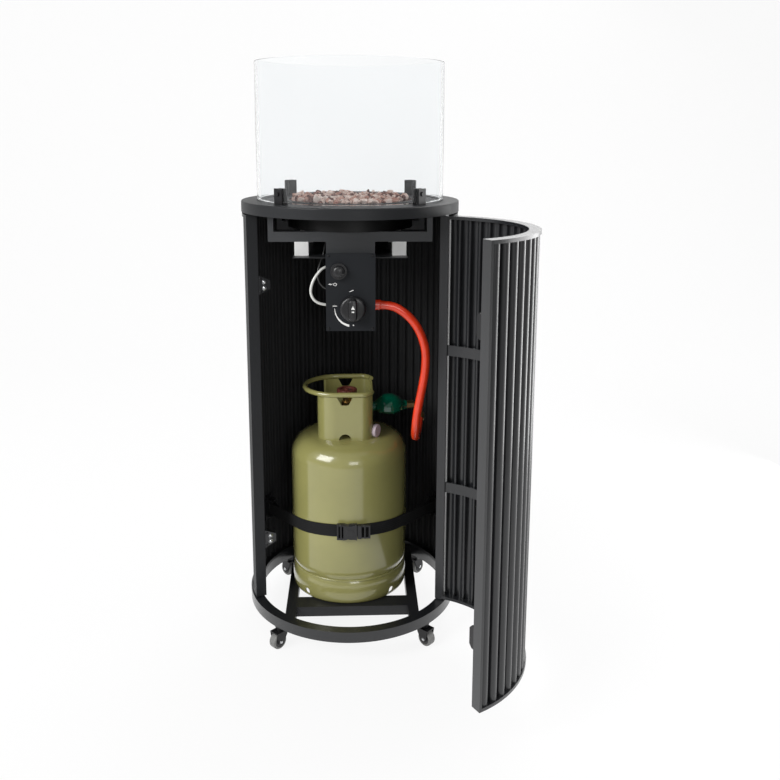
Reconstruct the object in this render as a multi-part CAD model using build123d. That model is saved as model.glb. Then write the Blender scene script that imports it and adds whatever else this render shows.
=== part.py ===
from build123d import *
import math
import os

# Outdoor gas fire in a round pillar: lava rocks and a glass wind guard on top, controls and
# a gas bottle behind a curved door, castors below. Millimetres, +Z up. The origin is on the
# floor, on the pillar's axis, and the front faces -Y. The door stands open as stored.

os.makedirs("parts", exist_ok=True)

# Pillar
castor_height = 46.0
body_height = 800.0
top_ring_radius = 205.0
bottom_ring_margin = 1.5
sheet = 3.0
frame_bar = 20.0
steel_clearance = 0.3
door_gap = 3.0

# Top ring, burner plate and pan
skirt_height = 20.0
ring_face_width = 37.0
ledge_drop = 4.0
ledge_width = 10.0
plate_gap = 1.0
plate_thickness = 3.0
plate_width = 50.0
pan_depth = 50.0
pan_wall = 1.5
pan_flange = 7.0

# Burner and its gas supply
burner_ring_inset = 52.0
burner_tube_radius = 6.0
feed_pipe_radius = 5.0
probe_radius = 3.0
probe_sleeve_rise = 20.0
probe_tip_length = 36.0

# Lava
bed_clearance = 1.5
bed_top_drop = 1.0
stone_size = 28.0
stone_height = 17.0
stone_rows = 5

# Glass guard and its clips
glass_inset = 30.0
glass_wall = 6.0
glass_height = 248.0
clip_width = 21.0
clip_depth = 15.0
clip_height = 28.0
clip_slot_floor = 2.0
clip_slot_gap = 0.4
clip_screw_radius = 2.5
clip_angles = [45, 135, 225, 315]

# Flutes of the shell and of the door
flute_setback = 2.0
flute_depth = 9.4
flute_waist_depth = 6.8
flute_wall = 1.2
flute_pitch_angle = 6.0
flute_crest_share = 0.72

# Posts, rails and door
hinge_angle = 63.5
door_free_angle = -66.0
post_start_angle = 67.5
post_width = 20.0
post_wall = 2.0
rail_setback = 1.0
rail_width = 20.0
rail_thickness = 6.0
hinge_stile_width = 16.0
free_stile_width = 5.0
door_open_angle = 95.0
mid_rail_height = 20.0
mid_rail_thickness = 4.0
mid_rail_upper_z = 573.0
mid_rail_lower_z = 302.5
pivot_radius = 4.0
pivot_clearance = 0.05
pivot_length = 22.0
lug_thickness = 3.0

# Catches and strikes
catch_upper_z = 693.0
catch_lower_z = 189.0
catch_height = 36.0
catch_width = 22.0
catch_depth = 14.0
catch_tip_height = 16.0
catch_ball_radius = 3.2
catch_ball_spread = 5.5
strike_gap = 0.5
strike_height = 40.0
strike_depth = 12.0
strike_thickness = 2.5

# Base
bottom_ring_height = 21.0
bottom_ring_wall = 2.0
castor_bar_gap = 20.593
cross_bar_inner = 75.0
cross_bar_depth = 38.0
bar_height = 20.0

# Castors
castor_inset = 9.0
castor_trail = 6.0
wheel_radius = 15.5
wheel_width = 16.0
wheel_bore_clearance = 0.06
castor_axle_radius = 2.5
fork_wall = 2.0
fork_side_gap = 0.6
castor_plate_radius = 9.5
castor_plate_height = 3.5
castor_stem_radius = 4.0
castor_stem_length = 14.0
castor_angles = [-45, 45, 135, -135]

# Burner brackets, spacers, heat shield and control box
bracket_clearance = 2.36
bracket_upright = 10.0
bracket_bar_height = 18.0
bracket_inset = 12.0
spacer_size = 25.0
spacer_offset = 88.0
shield_side_margin = 2.0
shield_thickness = 1.5
shield_end_margin = 12.0
panel_width = 88.0
panel_height = 140.0
panel_top_drop = 84.0
panel_thickness = 2.0
panel_overhang = 34.0
housing_width = 60.0
housing_height = 120.0
housing_wall = 1.5
knob_x = 4.0
knob_drop = 98.5
knob_radius = 23.0
knob_base_height = 9.0
knob_grip_width = 15.0
knob_grip_height = 13.0
knob_travel = 3.0
spindle_radius = 4.0
spindle_clearance = 0.05
button_x = -21.0
button_drop = 31.5
button_radius = 11.0
button_height = 9.0
button_travel = 3.0
bezel_radius = 14.5
bezel_depth = 6.0
igniter_radius = 7.0
igniter_length = 36.0
stem_radius = 3.0
nipple_radius = 5.0

# Gas bottle
bottle_x = -6.0
bottle_y = 8.0
bottle_radius = 115.0
bottle_foot_inset = 8.0
bottle_foot_height = 48.0
bottle_shoulder_z = 344.0
bottle_knuckle = 38.0
bottle_dome_height = 43.0
bottle_wall = 2.5
foot_wall = 3.0
foot_flare = 6.0
foot_hole_radius = 6.5
foot_hole_angle = 46.5
collar_x = -12.5
collar_y = 14.0
collar_width = 109.0
collar_depth = 136.0
collar_right_corner = 25.0
collar_left_corner = 36.0
collar_wall = 3.0
collar_top = 470.0
collar_gap_front = -14.0
collar_gap_rear = 71.0
collar_notch_width = 30.0
collar_notch_depth = 16.0
collar_foot_notch_radius = 12.0
handle_tube_radius = 4.8
handle_reach = 27.0
bottle_valve_radius = 11.0
valve_x = -9.0
handwheel_radius = 20.0
handwheel_height = 11.0
handwheel_z = 459.0

# Regulator, hose and leads
outlet_angle = 9.0
outlet_z = 430.0
outlet_pipe_radius = 8.0
coupling_start = 24.0
coupling_length = 18.0
coupling_radius = 13.0
regulator_radius = 30.0
regulator_height = 34.0
regulator_distance = 85.0
regulator_neck_radius = 9.0
outlet_nut_distance = 121.0
outlet_nut_length = 14.0
outlet_nut_radius = 8.5
cap_radius = 13.0
cap_thickness = 8.0
cap_position = (48.0, -31.0)
cap_turn = -28.0
hose_radius = 8.0
lead_radius = 2.5
probe_lead_radius = 1.25
ferrule_wall = 1.8
ferrule_gap = 0.05
hose_wall_gap = 46.0
hose_drop = 44.0

# Strap
strap_width = 25.0
strap_thickness = 2.0
strap_level = 204.0
strap_tilt = 9.4
strap_anchor_angle = 111.0
anchor_bar_radius = 4.0
anchor_plate = 3.0
buckle_left = -29.0
buckle_joint = 10.0
buckle_right = 36.0
buckle_height = 32.0
buckle_thickness = 11.0

# Levels worked out from the sizes above
ring_bottom = castor_height
ring_top = castor_height + body_height
skirt_bottom = ring_top - skirt_height
ring_under = ring_top - sheet
base_top = ring_bottom + bottom_ring_height
shell_bottom = base_top + door_gap - 0.5
shell_top = skirt_bottom - door_gap
bar_top = ring_bottom + bar_height
bottom_ring_radius = top_ring_radius + bottom_ring_margin
ring_inner_radius = top_ring_radius - ring_face_width
pan_radius = ring_inner_radius - plate_width
burner_ring_radius = pan_radius - burner_ring_inset
glass_radius = top_ring_radius - glass_inset
castor_circle_radius = top_ring_radius - castor_inset
side_bar_offset = castor_circle_radius * math.cos(math.radians(45)) - castor_bar_gap
bottom_ring_inner = bottom_ring_radius - frame_bar + 0.5
rail_outer_radius = top_ring_radius - rail_setback
rail_inner_radius = rail_outer_radius - rail_width
rail_mid_radius = rail_outer_radius - rail_width / 2
flute_outer_radius = rail_outer_radius - flute_setback
flute_root_radius = flute_outer_radius - flute_depth
flute_waist_radius = flute_outer_radius - flute_waist_depth
bracket_front = pan_radius - bracket_inset
bracket_half_width = math.sqrt((rail_inner_radius - bracket_clearance)**2 - bracket_front**2)
shield_width = 2 * spacer_offset + spacer_size + 2 * shield_side_margin
shield_reach = pan_radius + shield_end_margin
panel_setback = bracket_front + panel_overhang
panel_top = ring_top - panel_top_drop
knob_z = panel_top - knob_drop
button_z = panel_top - button_drop
valve_inlet_z = knob_z + 0.5
pan_bottom = ring_top - pan_depth
bottle_foot_radius = bottle_radius - bottle_foot_inset


def between(low, high, share):
    """Level a share of the way up from one level to another."""
    return low + (high - low) * share


# Routes of the hose and of the two leads, each from the control box to its other end
hose_side = rail_inner_radius - hose_wall_gap
hose_low = outlet_z - hose_drop
box_side = housing_width / 2
supply_y = -panel_setback + 26
hose_points = [
    (box_side + 16, supply_y, valve_inlet_z),
    (box_side + 42, supply_y, valve_inlet_z),
    (box_side + 66, supply_y - 1, between(hose_low, valve_inlet_z, 0.955)),
    (hose_side - 22, supply_y, between(hose_low, valve_inlet_z, 0.8813)),
    (hose_side - 8, supply_y + 3, between(hose_low, valve_inlet_z, 0.7878)),
    (hose_side, supply_y + 8, between(hose_low, valve_inlet_z, 0.6799)),
    (hose_side, supply_y + 11, between(hose_low, valve_inlet_z, 0.5647)),
    (hose_side - 4, supply_y + 14, between(hose_low, valve_inlet_z, 0.4496)),
    (hose_side - 10, supply_y + 16, between(hose_low, valve_inlet_z, 0.3345)),
    (hose_side - 15, supply_y + 19, between(hose_low, valve_inlet_z, 0.2194)),
    (hose_side - 17, -87, between(hose_low, valve_inlet_z, 0.1151)),
    (hose_side - 16, -66, between(hose_low, valve_inlet_z, 0.0378)),
    (hose_side - 13, -44, hose_low),
    (hose_side - 8, -20, hose_low),
    (hose_side - 4, 3, hose_low + 11),
    (hose_side - 1, 18, hose_low + 24),
]
lead_y = -panel_setback + 31
lead_high = button_z + 4.5
lead_low = knob_z - 0.5
lead_points = [
    (-box_side, lead_y, lead_high),
    (-box_side - 16, lead_y, lead_high),
    (-box_side - 30, lead_y - 2, between(lead_low, lead_high, 0.8056)),
    (-box_side - 40, lead_y - 4, between(lead_low, lead_high, 0.5694)),
    (-box_side - 43, lead_y - 5, between(lead_low, lead_high, 0.3194)),
    (-box_side - 35, lead_y - 4, between(lead_low, lead_high, 0.0972)),
    (-box_side - 17, lead_y - 1, lead_low),
    (-box_side, lead_y - 1, lead_low),
]
probe_y = -panel_setback + 36
probe_low = knob_z + 26.5
probe_high = pan_bottom - 9
probe_lead_points = [
    (-box_side, probe_y, probe_low),
    (-box_side - 13, probe_y, probe_low),
    (-box_side - 24, probe_y, between(probe_low, probe_high, 0.0825)),
    (-box_side - 30, probe_y + 1, between(probe_low, probe_high, 0.2062)),
    (-box_side - 30, probe_y + 3, between(probe_low, probe_high, 0.3505)),
    (-box_side - 26, probe_y + 6, between(probe_low, probe_high, 0.4845)),
    (-box_side - 21, probe_y + 9, between(probe_low, probe_high, 0.6082)),
    (-box_side - 18, probe_y + 15, between(probe_low, probe_high, 0.7320)),
    (-box_side - 16, probe_y + 24, between(probe_low, probe_high, 0.8660)),
    (-box_side - 16, probe_y + 24, probe_high),
]


def polar(radius, angle, z=0.0):
    """Point at an angle from the front, positive to the right as seen from the front."""
    a = math.radians(angle)
    return (radius * math.sin(a), -radius * math.cos(a), z)


def tube(outer, inner, height, z=0.0, x=0.0, y=0.0):
    """Upright round tube, or a disc where inner is 0."""
    body = Cylinder(outer, height, align=(Align.CENTER, Align.CENTER, Align.MIN))
    if inner > 0:
        body -= Cylinder(inner, height, align=(Align.CENTER, Align.CENTER, Align.MIN))
    return Pos(x, y, z) * body


def block(x0, x1, y0, y1, z0, z1):
    """Box between two corners."""
    size = Box(x1 - x0, y1 - y0, z1 - z0, align=(Align.MIN, Align.MIN, Align.MIN))
    return Pos(x0, y0, z0) * size


def at_angle(angle):
    """Turns a piece drawn at the front round the pillar's axis."""
    return Rot(0, 0, angle)


def arc_band(r_in, r_out, a0, a1, z0, z1):
    """Part of a flat ring between two angles."""
    mid = (a0 + a1) / 2
    outline = (
        Line(polar(r_in, a0)[:2], polar(r_out, a0)[:2])
        + ThreePointArc(polar(r_out, a0)[:2], polar(r_out, mid)[:2], polar(r_out, a1)[:2])
        + Line(polar(r_out, a1)[:2], polar(r_in, a1)[:2])
        + ThreePointArc(polar(r_in, a1)[:2], polar(r_in, mid)[:2], polar(r_in, a0)[:2])
    )
    return Pos(0, 0, z0) * extrude(make_face(outline), z1 - z0)


def fluted_sheet(a0, a1, z0, z1):
    """Corrugated sheet from a0 to a1: wide round crests outside, narrow valleys between."""
    count = max(1, round((a1 - a0) / flute_pitch_angle))
    pitch = (a1 - a0) / count
    crest = pitch * flute_crest_share / 2
    shift = math.degrees(flute_wall / flute_waist_radius) / 2

    def wave(offset, side):
        arcs = []
        for i in range(count):
            start = a0 + i * pitch
            top = start + pitch / 2
            p0 = polar(flute_waist_radius, top - crest - side * shift)[:2]
            p1 = polar(flute_outer_radius + offset, top)[:2]
            p2 = polar(flute_waist_radius, top + crest + side * shift)[:2]
            arcs.append(ThreePointArc(p0, p1, p2))
            if i < count - 1:
                p3 = polar(flute_root_radius + offset, start + pitch)[:2]
                p4 = polar(flute_waist_radius, top + pitch - crest - side * shift)[:2]
                arcs.append(ThreePointArc(p2, p3, p4))
        return arcs

    outer = wave(0.0, 1)
    inner = wave(-flute_wall, -1)
    ends = [
        Line(outer[0] @ 0, inner[0] @ 0),
        Line(outer[-1] @ 1, inner[-1] @ 1),
    ]
    face = make_face(outer + inner + ends)
    return Pos(0, 0, z0) * extrude(face, z1 - z0)


def route_radii(points):
    """Bend radius at each corner of a route: as large as its two runs allow."""
    radii = []
    for a, b, c in zip(points, points[1:], points[2:]):
        first = Vector(*b) - Vector(*a)
        second = Vector(*c) - Vector(*b)
        half_turn = math.radians(first.get_angle(second)) / 2
        radii.append(0.45 * min(first.length, second.length) / math.tan(half_turn))
    return radii


def routed_tube(name, points, radius):
    """Round tube along straight runs joined by tangent arcs."""
    radii = route_radii(points)
    path = FilletPolyline(*points, radius=radii)
    section = Plane(origin=path @ 0, z_dir=path % 0) * Circle(radius)
    solid = sweep(section, path=path)
    expected = math.pi * radius**2 * path.length
    print(name, "length", round(path.length, 1), "radii", [round(r) for r in radii],
          "volume share", round(solid.volume / expected, 3))
    return solid


def bent_pipe(points, radius, bend):
    """Short rigid pipe with equal bends."""
    path = FilletPolyline(*points, radius=bend)
    section = Plane(origin=path @ 0, z_dir=path % 0) * Circle(radius)
    return sweep(section, path=path)


def pose_door(piece):
    """Swings a piece drawn with the door closed to where the door stands open."""
    pivot = polar(rail_mid_radius, hinge_angle)
    return Pos(pivot[0], pivot[1], 0) * Rot(0, 0, door_open_angle) * Pos(-pivot[0], -pivot[1], 0) * piece


parts = {}

# Top ring: flat face, down-turned skirt and an inner ledge that carries the burner plate
ledge_z = ring_top - ledge_drop
ring_profile = Polyline(
    (top_ring_radius, skirt_bottom), (top_ring_radius, ring_top), (ring_inner_radius, ring_top),
    (ring_inner_radius, ledge_z), (ring_inner_radius - ledge_width, ledge_z),
    (ring_inner_radius - ledge_width, ledge_z - sheet), (ring_inner_radius + sheet, ledge_z - sheet),
    (ring_inner_radius + sheet, ring_under), (top_ring_radius - sheet, ring_under),
    (top_ring_radius - sheet, skirt_bottom), close=True,
)
top_ring = revolve(Plane.XZ * make_face(ring_profile), Axis.Z)
rim_edges = top_ring.edges().filter_by(GeomType.CIRCLE).filter_by(
    lambda e: abs(e.radius - top_ring_radius) < 0.1 and e.center().Z > ring_top - 1)
top_ring = fillet(rim_edges, sheet * 0.8)
pivot_x, pivot_y, pivot_z = polar(rail_mid_radius, hinge_angle)
hinge_lug = arc_band(rail_inner_radius, top_ring_radius - sheet + 0.5, hinge_angle - 4, hinge_angle + 4,
                     skirt_bottom, skirt_bottom + lug_thickness)
hinge_web = arc_band(rail_inner_radius, top_ring_radius - sheet, hinge_angle + 3, hinge_angle + 4,
                     skirt_bottom, ring_under + 0.5)
top_ring = top_ring + hinge_lug + hinge_web
top_ring -= tube(pivot_radius + pivot_clearance, 0, 10, skirt_bottom - 2, pivot_x, pivot_y)
parts["top_ring"] = top_ring

# Burner plate, pan and burner
plate_z = ledge_z
plate_top = plate_z + plate_thickness
parts["burner_plate"] = tube(ring_inner_radius - plate_gap, pan_radius + plate_gap, plate_thickness, plate_z)
pan_profile = Polyline(
    (0, pan_bottom), (pan_radius, pan_bottom), (pan_radius, plate_top),
    (pan_radius + pan_flange, plate_top), (pan_radius + pan_flange, plate_top + pan_wall),
    (pan_radius - pan_wall, plate_top + pan_wall), (pan_radius - pan_wall, pan_bottom + pan_wall),
    (0, pan_bottom + pan_wall), close=True,
)
hub_radius = feed_pipe_radius + 5
burner_pan = revolve(Plane.XZ * make_face(pan_profile), Axis.Z)
burner_pan -= tube(hub_radius + steel_clearance, 0, 10, pan_bottom - 4)
probe_x, probe_spot_y, probe_foot = probe_lead_points[-1]
burner_pan -= tube(probe_radius + steel_clearance, 0, 10, pan_bottom - 4, probe_x, probe_spot_y)
parts["burner_pan"] = burner_pan
burner_z = pan_bottom + pan_wall + burner_tube_radius + 1
ring_tube = Pos(0, 0, burner_z) * Torus(burner_ring_radius, burner_tube_radius)
cross_tube = Pos(0, 0, burner_z) * Rot(0, 90, 0) * Cylinder(
    burner_tube_radius - 1, 2 * burner_ring_radius - 3)
hub = tube(hub_radius, 0, burner_z + 8 - (pan_bottom - 6), pan_bottom - 6)
burner = ring_tube + cross_tube + hub
burner -= tube(feed_pipe_radius, 0, 12, pan_bottom - 7)
parts["burner_tube"] = burner
probe = tube(probe_radius, 0, pan_bottom + probe_sleeve_rise - probe_foot, probe_foot, probe_x, probe_spot_y)
probe += tube(probe_radius - 1.2, 0, probe_tip_length, pan_bottom + 1, probe_x, probe_spot_y)
probe += tube(probe_radius + 2.5, 0, 4, pan_bottom - 4, probe_x, probe_spot_y)
parts["flame_probe"] = probe

# Lava: fine granulate round the burner, and loose stones on it
bed_radius = pan_radius - pan_wall - bed_clearance + 1.2
bed_bottom = pan_bottom + pan_wall
bed_top = ring_top - bed_top_drop
lava_bed = tube(bed_radius, 0, bed_top - bed_bottom, bed_bottom)
channel = burner_tube_radius + bed_clearance
channel_height = burner_z + burner_tube_radius + bed_clearance - bed_bottom
lava_bed -= tube(burner_ring_radius + channel, burner_ring_radius - channel, channel_height, bed_bottom)
lava_bed -= block(-burner_ring_radius, burner_ring_radius, -channel, channel, bed_bottom,
                  bed_bottom + channel_height)
lava_bed -= tube(hub_radius + bed_clearance, 0, burner_z + 8 + bed_clearance - bed_bottom, bed_bottom)
lava_bed -= tube(probe_radius + bed_clearance, 0, 38, bed_bottom, probe_x, probe_spot_y)
parts["lava_bed"] = lava_bed


def lava_stone(turn, width, length, height):
    """Loose stone with a flat underside and eight slanting sides."""
    foot = RectangleRounded(width * 0.86, length * 0.86, width * 0.2)
    waist = Pos(0, 0, height * 0.38) * Rot(0, 0, 11) * Polygon(*[
        (width / 2 * math.cos(math.radians(45 * k)), length / 2 * math.sin(math.radians(45 * k)))
        for k in range(8)], align=None)
    crown = Pos(0, 0, height) * Rot(0, 0, 34) * Polygon(*[
        (width * 0.24 * math.cos(math.radians(45 * k)), length * 0.3 * math.sin(math.radians(45 * k)))
        for k in range(8)], align=None)
    foot = Polygon(*[
        (width * 0.4 * math.cos(math.radians(45 * k)), length * 0.42 * math.sin(math.radians(45 * k)))
        for k in range(8)], align=None)
    return Rot(0, 0, turn) * loft([foot, waist, crown], ruled=True)


stones = []
for row in range(stone_rows + 1):
    ring_count = 1 if row == 0 else 6 * row
    ring_radius = row * stone_size * 0.86
    if ring_radius > pan_radius - stone_size / 2:
        break
    for k in range(ring_count):
        seed = 7 * row + 3 * k
        width = stone_size * (0.74 + 0.035 * (seed % 4))
        length = stone_size * (0.72 + 0.03 * ((seed + 2) % 4))
        height = stone_height * (0.72 + 0.09 * (seed % 5))
        spot = polar(ring_radius, 360 * k / ring_count + 13 * row, bed_top)
        stones.append(Pos(*spot) * lava_stone(37 * seed, width, length, height))
parts["lava_rocks"] = Compound(children=stones)

# Glass guard in four slotted clips, each with two screws
slot_inner = glass_radius - glass_wall - clip_slot_gap
slot_outer = glass_radius + clip_slot_gap
clip_inner = (slot_inner + slot_outer) / 2 - clip_depth / 2
glass_bottom = ring_top + clip_slot_floor + steel_clearance
parts["glass_guard"] = tube(glass_radius, glass_radius - glass_wall, glass_height, glass_bottom)
clips = []
clip_screws = []
for angle in clip_angles:
    clip = block(-clip_width / 2, clip_width / 2, -clip_inner - clip_depth, -clip_inner,
                 ring_top, ring_top + clip_height)
    clip = fillet(clip.edges().filter_by(Axis.Z), 1.5)
    clip -= tube(slot_outer, slot_inner, clip_height, ring_top + clip_slot_floor)
    screw_y = -clip_inner - clip_depth
    hole = Pos(0, screw_y, ring_top + clip_height * 0.66) * Rot(90, 0, 0) * Cylinder(
        clip_screw_radius + 0.05, 2 * (clip_depth - glass_wall) / 2 + 2)
    clips.append(at_angle(angle) * (clip - hole))
    head = Pos(0, screw_y - 1.2, ring_top + clip_height * 0.66) * Rot(90, 0, 0) * Cylinder(
        clip_screw_radius + 1.6, 2.4)
    shank_length = -slot_outer - screw_y - 0.4
    shank = Pos(0, screw_y + shank_length / 2, ring_top + clip_height * 0.66) * Rot(90, 0, 0) * Cylinder(
        clip_screw_radius, shank_length)
    clip_screws.append(at_angle(angle) * (head + shank))
parts["glass_clips"] = Compound(children=clips)
parts["clip_screws"] = Compound(children=clip_screws)

# Two brackets under the ring carry the pan; insulating blocks hang the heat shield from them
bracket_bottom = pan_bottom - bracket_bar_height
bar_depth = frame_bar
brackets = []
for turn in (0, 180):
    bar = block(-bracket_half_width, bracket_half_width, -bracket_front, -bracket_front + bar_depth,
                bracket_bottom, pan_bottom)
    for side in (-1, 1):
        outer = side * bracket_half_width
        inner = side * (bracket_half_width - bracket_upright)
        bar += block(min(outer, inner), max(outer, inner), -bracket_front, -bracket_front + bar_depth,
                     bracket_bottom, ledge_z - sheet)
    brackets.append(at_angle(turn) * bar)
spacer_bottom = bracket_bottom - spacer_size
parts["spacer_blocks"] = Compound(children=[
    at_angle(turn) * block(side * spacer_offset - spacer_size / 2, side * spacer_offset + spacer_size / 2,
                           -bracket_front, -bracket_front + spacer_size, spacer_bottom, bracket_bottom)
    for turn in (0, 180) for side in (-1, 1)])
shield_bottom = spacer_bottom - shield_thickness
feed_x = 10.0
feed_y = -bracket_front + panel_thickness + feed_pipe_radius + 0.5
heat_shield = block(-shield_width / 2, shield_width / 2, -shield_reach, shield_reach,
                    shield_bottom, spacer_bottom)
heat_shield -= tube(feed_pipe_radius + 0.5, 0, 6, shield_bottom - 2, feed_x, feed_y)
low, high = probe_lead_points[6], probe_lead_points[7]
share = (shield_bottom - low[2]) / (high[2] - low[2])
lead_hole_x = low[0] + share * (high[0] - low[0])
lead_hole_y = low[1] + share * (high[1] - low[1])
heat_shield -= tube(probe_lead_radius + 1.5, 0, 6, shield_bottom - 2, lead_hole_x, lead_hole_y)
parts["heat_shield"] = heat_shield
hanger = block(-panel_width / 2, panel_width / 2, -bracket_front, -bracket_front + panel_thickness,
               spacer_bottom, bracket_bottom)
parts["burner_brackets"] = Compound(children=brackets + [hanger])

# Control box: front panel, housing, valve, igniter, knob and button
panel_front = -panel_setback - panel_thickness
panel = block(-panel_width / 2, panel_width / 2, panel_front, -panel_setback,
              panel_top - panel_height, panel_top)
panel = fillet(panel.edges().filter_by(Axis.Y), 2.0)
for x, z, radius in ((knob_x, knob_z, spindle_radius + 1.5), (button_x, button_z, igniter_radius + 0.1)):
    panel -= Pos(x, panel_front, z) * Rot(90, 0, 0) * Cylinder(radius, 10)
parts["control_panel"] = panel
housing_top = shield_bottom
housing_back = feed_y + feed_pipe_radius + 0.5 + housing_wall
housing = block(-housing_width / 2, housing_width / 2, -panel_setback, housing_back,
                housing_top - housing_height, housing_top)
housing -= block(-housing_width / 2 + housing_wall, housing_width / 2 - housing_wall, -panel_setback - 1,
                 housing_back - housing_wall, housing_top - housing_height + housing_wall,
                 housing_top - housing_wall)
nipple_y = hose_points[0][1]
housing -= Pos(housing_width / 2, nipple_y, valve_inlet_z) * Rot(0, 90, 0) * Cylinder(nipple_radius + 0.5, 8)
housing -= tube(feed_pipe_radius + 0.5, 0, 6, housing_top - 3, feed_x, feed_y)
parts["control_housing"] = housing
valve_width = 32.0
valve_front = -panel_setback + 4
valve_back = housing_back - housing_wall
valve = block(knob_x - valve_width / 2, knob_x + valve_width / 2, valve_front, valve_back,
              knob_z - 20, knob_z + 22)
valve = fillet(valve.edges().filter_by(Axis.Y), 5.0)
nipple_length = hose_points[0][0] - knob_x - valve_width / 2
valve += Pos(knob_x + valve_width / 2 - 1, nipple_y, valve_inlet_z) * Rot(0, 90, 0) * Cylinder(
    nipple_radius, nipple_length + 1, align=(Align.CENTER, Align.CENTER, Align.MIN))
valve += tube(feed_pipe_radius + 0.4, 0, 14, knob_z + 20, feed_x, feed_y)
spindle_back = valve_front + 14
valve -= Pos(knob_x, valve_front - 1, knob_z) * Rot(-90, 0, 0) * Cylinder(
    spindle_radius + spindle_clearance, 22, align=(Align.CENTER, Align.CENTER, Align.MIN))
parts["gas_valve"] = valve
feed_start = knob_z + 34
feed_level = (spacer_bottom + pan_bottom) / 2 - 3
parts["gas_feed_pipe"] = bent_pipe(
    [(feed_x, feed_y, feed_start), (feed_x, feed_y, feed_level), (0, 0, feed_level), (0, 0, pan_bottom - 4)],
    feed_pipe_radius - 0.05, 7)
knob_back = panel_front - knob_travel - 1
knob_front = knob_back - knob_base_height
grip_front = knob_front - knob_grip_height
knob = Pos(knob_x, knob_back, knob_z) * Rot(90, 0, 0) * Cylinder(
    knob_radius, knob_base_height, align=(Align.CENTER, Align.CENTER, Align.MIN))
knob = chamfer(knob.edges().filter_by(GeomType.CIRCLE).sort_by(Axis.Y)[0], 2.0)
grip = Pos(knob_x, knob_front + 1, knob_z) * Rot(90, 0, 0) * extrude(
    RectangleRounded(knob_grip_width, 2 * knob_radius - 4, knob_grip_width * 0.45), knob_grip_height + 1)
grip = fillet(grip.edges().sort_by(Axis.Y)[:6], 1.5)
knob = knob + grip
socket_depth = knob_base_height + knob_grip_height - 4
knob -= Pos(knob_x, knob_back, knob_z) * Rot(90, 0, 0) * Cylinder(
    spindle_radius + spindle_clearance, socket_depth, align=(Align.CENTER, Align.CENTER, Align.MIN))
parts["gas_knob"] = knob
spindle_front = knob_back - socket_depth + steel_clearance
parts["knob_spindle"] = Pos(knob_x, spindle_back, knob_z) * Rot(90, 0, 0) * Cylinder(
    spindle_radius, spindle_back - spindle_front, align=(Align.CENTER, Align.CENTER, Align.MIN))
bezel_front = panel_front - bezel_depth
igniter = Pos(button_x, panel_front, button_z) * Rot(90, 0, 0) * Cylinder(
    bezel_radius, bezel_depth, align=(Align.CENTER, Align.CENTER, Align.MIN))
igniter -= Pos(button_x, panel_front - 1, button_z) * Rot(90, 0, 0) * Cylinder(
    button_radius + 0.1, bezel_depth, align=(Align.CENTER, Align.CENTER, Align.MIN))
igniter += Pos(button_x, panel_front - 1, button_z) * Rot(-90, 0, 0) * Cylinder(
    igniter_radius, igniter_length, align=(Align.CENTER, Align.CENTER, Align.MIN))
igniter -= Pos(button_x, panel_front - 2, button_z) * Rot(-90, 0, 0) * Cylinder(
    stem_radius + 0.05, 20, align=(Align.CENTER, Align.CENTER, Align.MIN))
parts["igniter_unit"] = igniter
button_back = panel_front - 1 - button_travel - steel_clearance
button = Pos(button_x, button_back, button_z) * Rot(90, 0, 0) * Cylinder(
    button_radius, button_height, align=(Align.CENTER, Align.CENTER, Align.MIN))
button = fillet(button.edges().filter_by(GeomType.CIRCLE).sort_by(Axis.Y)[0], 1.0)
button += Pos(button_x, button_back - 1, button_z) * Rot(-90, 0, 0) * Cylinder(
    stem_radius, 14, align=(Align.CENTER, Align.CENTER, Align.MIN))
parts["ignition_button"] = button

# Gas bottle: body with a dished top, pierced foot ring, bent collar plate and carrying handle
knuckle_x = bottle_radius - bottle_knuckle
crown_radius = (bottle_dome_height**2 + knuckle_x**2 - bottle_knuckle**2) / (
    2 * (bottle_dome_height - bottle_knuckle))
crown_turn = math.asin(knuckle_x / (crown_radius - bottle_knuckle))


def dished_end(wall):
    """Knuckle and crown of a dished end, from the rim up to the axis, above z = 0."""
    k = bottle_knuckle - wall
    c = crown_radius - wall
    rim = (knuckle_x + k, 0)
    half = (math.pi / 2 - crown_turn) / 2
    middle = (knuckle_x + k * math.cos(half), k * math.sin(half))
    tangent = (knuckle_x + k * math.sin(crown_turn), k * math.cos(crown_turn))
    base = bottle_dome_height - crown_radius
    crown = (c * math.sin(crown_turn / 2), base + c * math.cos(crown_turn / 2))
    top = (0, base + c)
    return rim, middle, tangent, crown, top


def bottle_shape(wall):
    """Solid of revolution of the bottle, inset by a wall thickness."""
    bottom_z = ring_bottom + bottle_foot_height + bottle_knuckle
    up = [(x, bottle_shoulder_z + z) for x, z in dished_end(wall)]
    down = [(x, bottom_z - z) for x, z in dished_end(wall)]
    outline = [
        ThreePointArc(*up[0:3]), ThreePointArc(*up[2:5]), Line(up[4], down[4]),
        ThreePointArc(*reversed(down[2:5])), ThreePointArc(*reversed(down[0:3])), Line(down[0], up[0]),
    ]
    return Pos(bottle_x, bottle_y, 0) * revolve(Plane.XZ * make_face(outline), Axis.Z)


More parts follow.
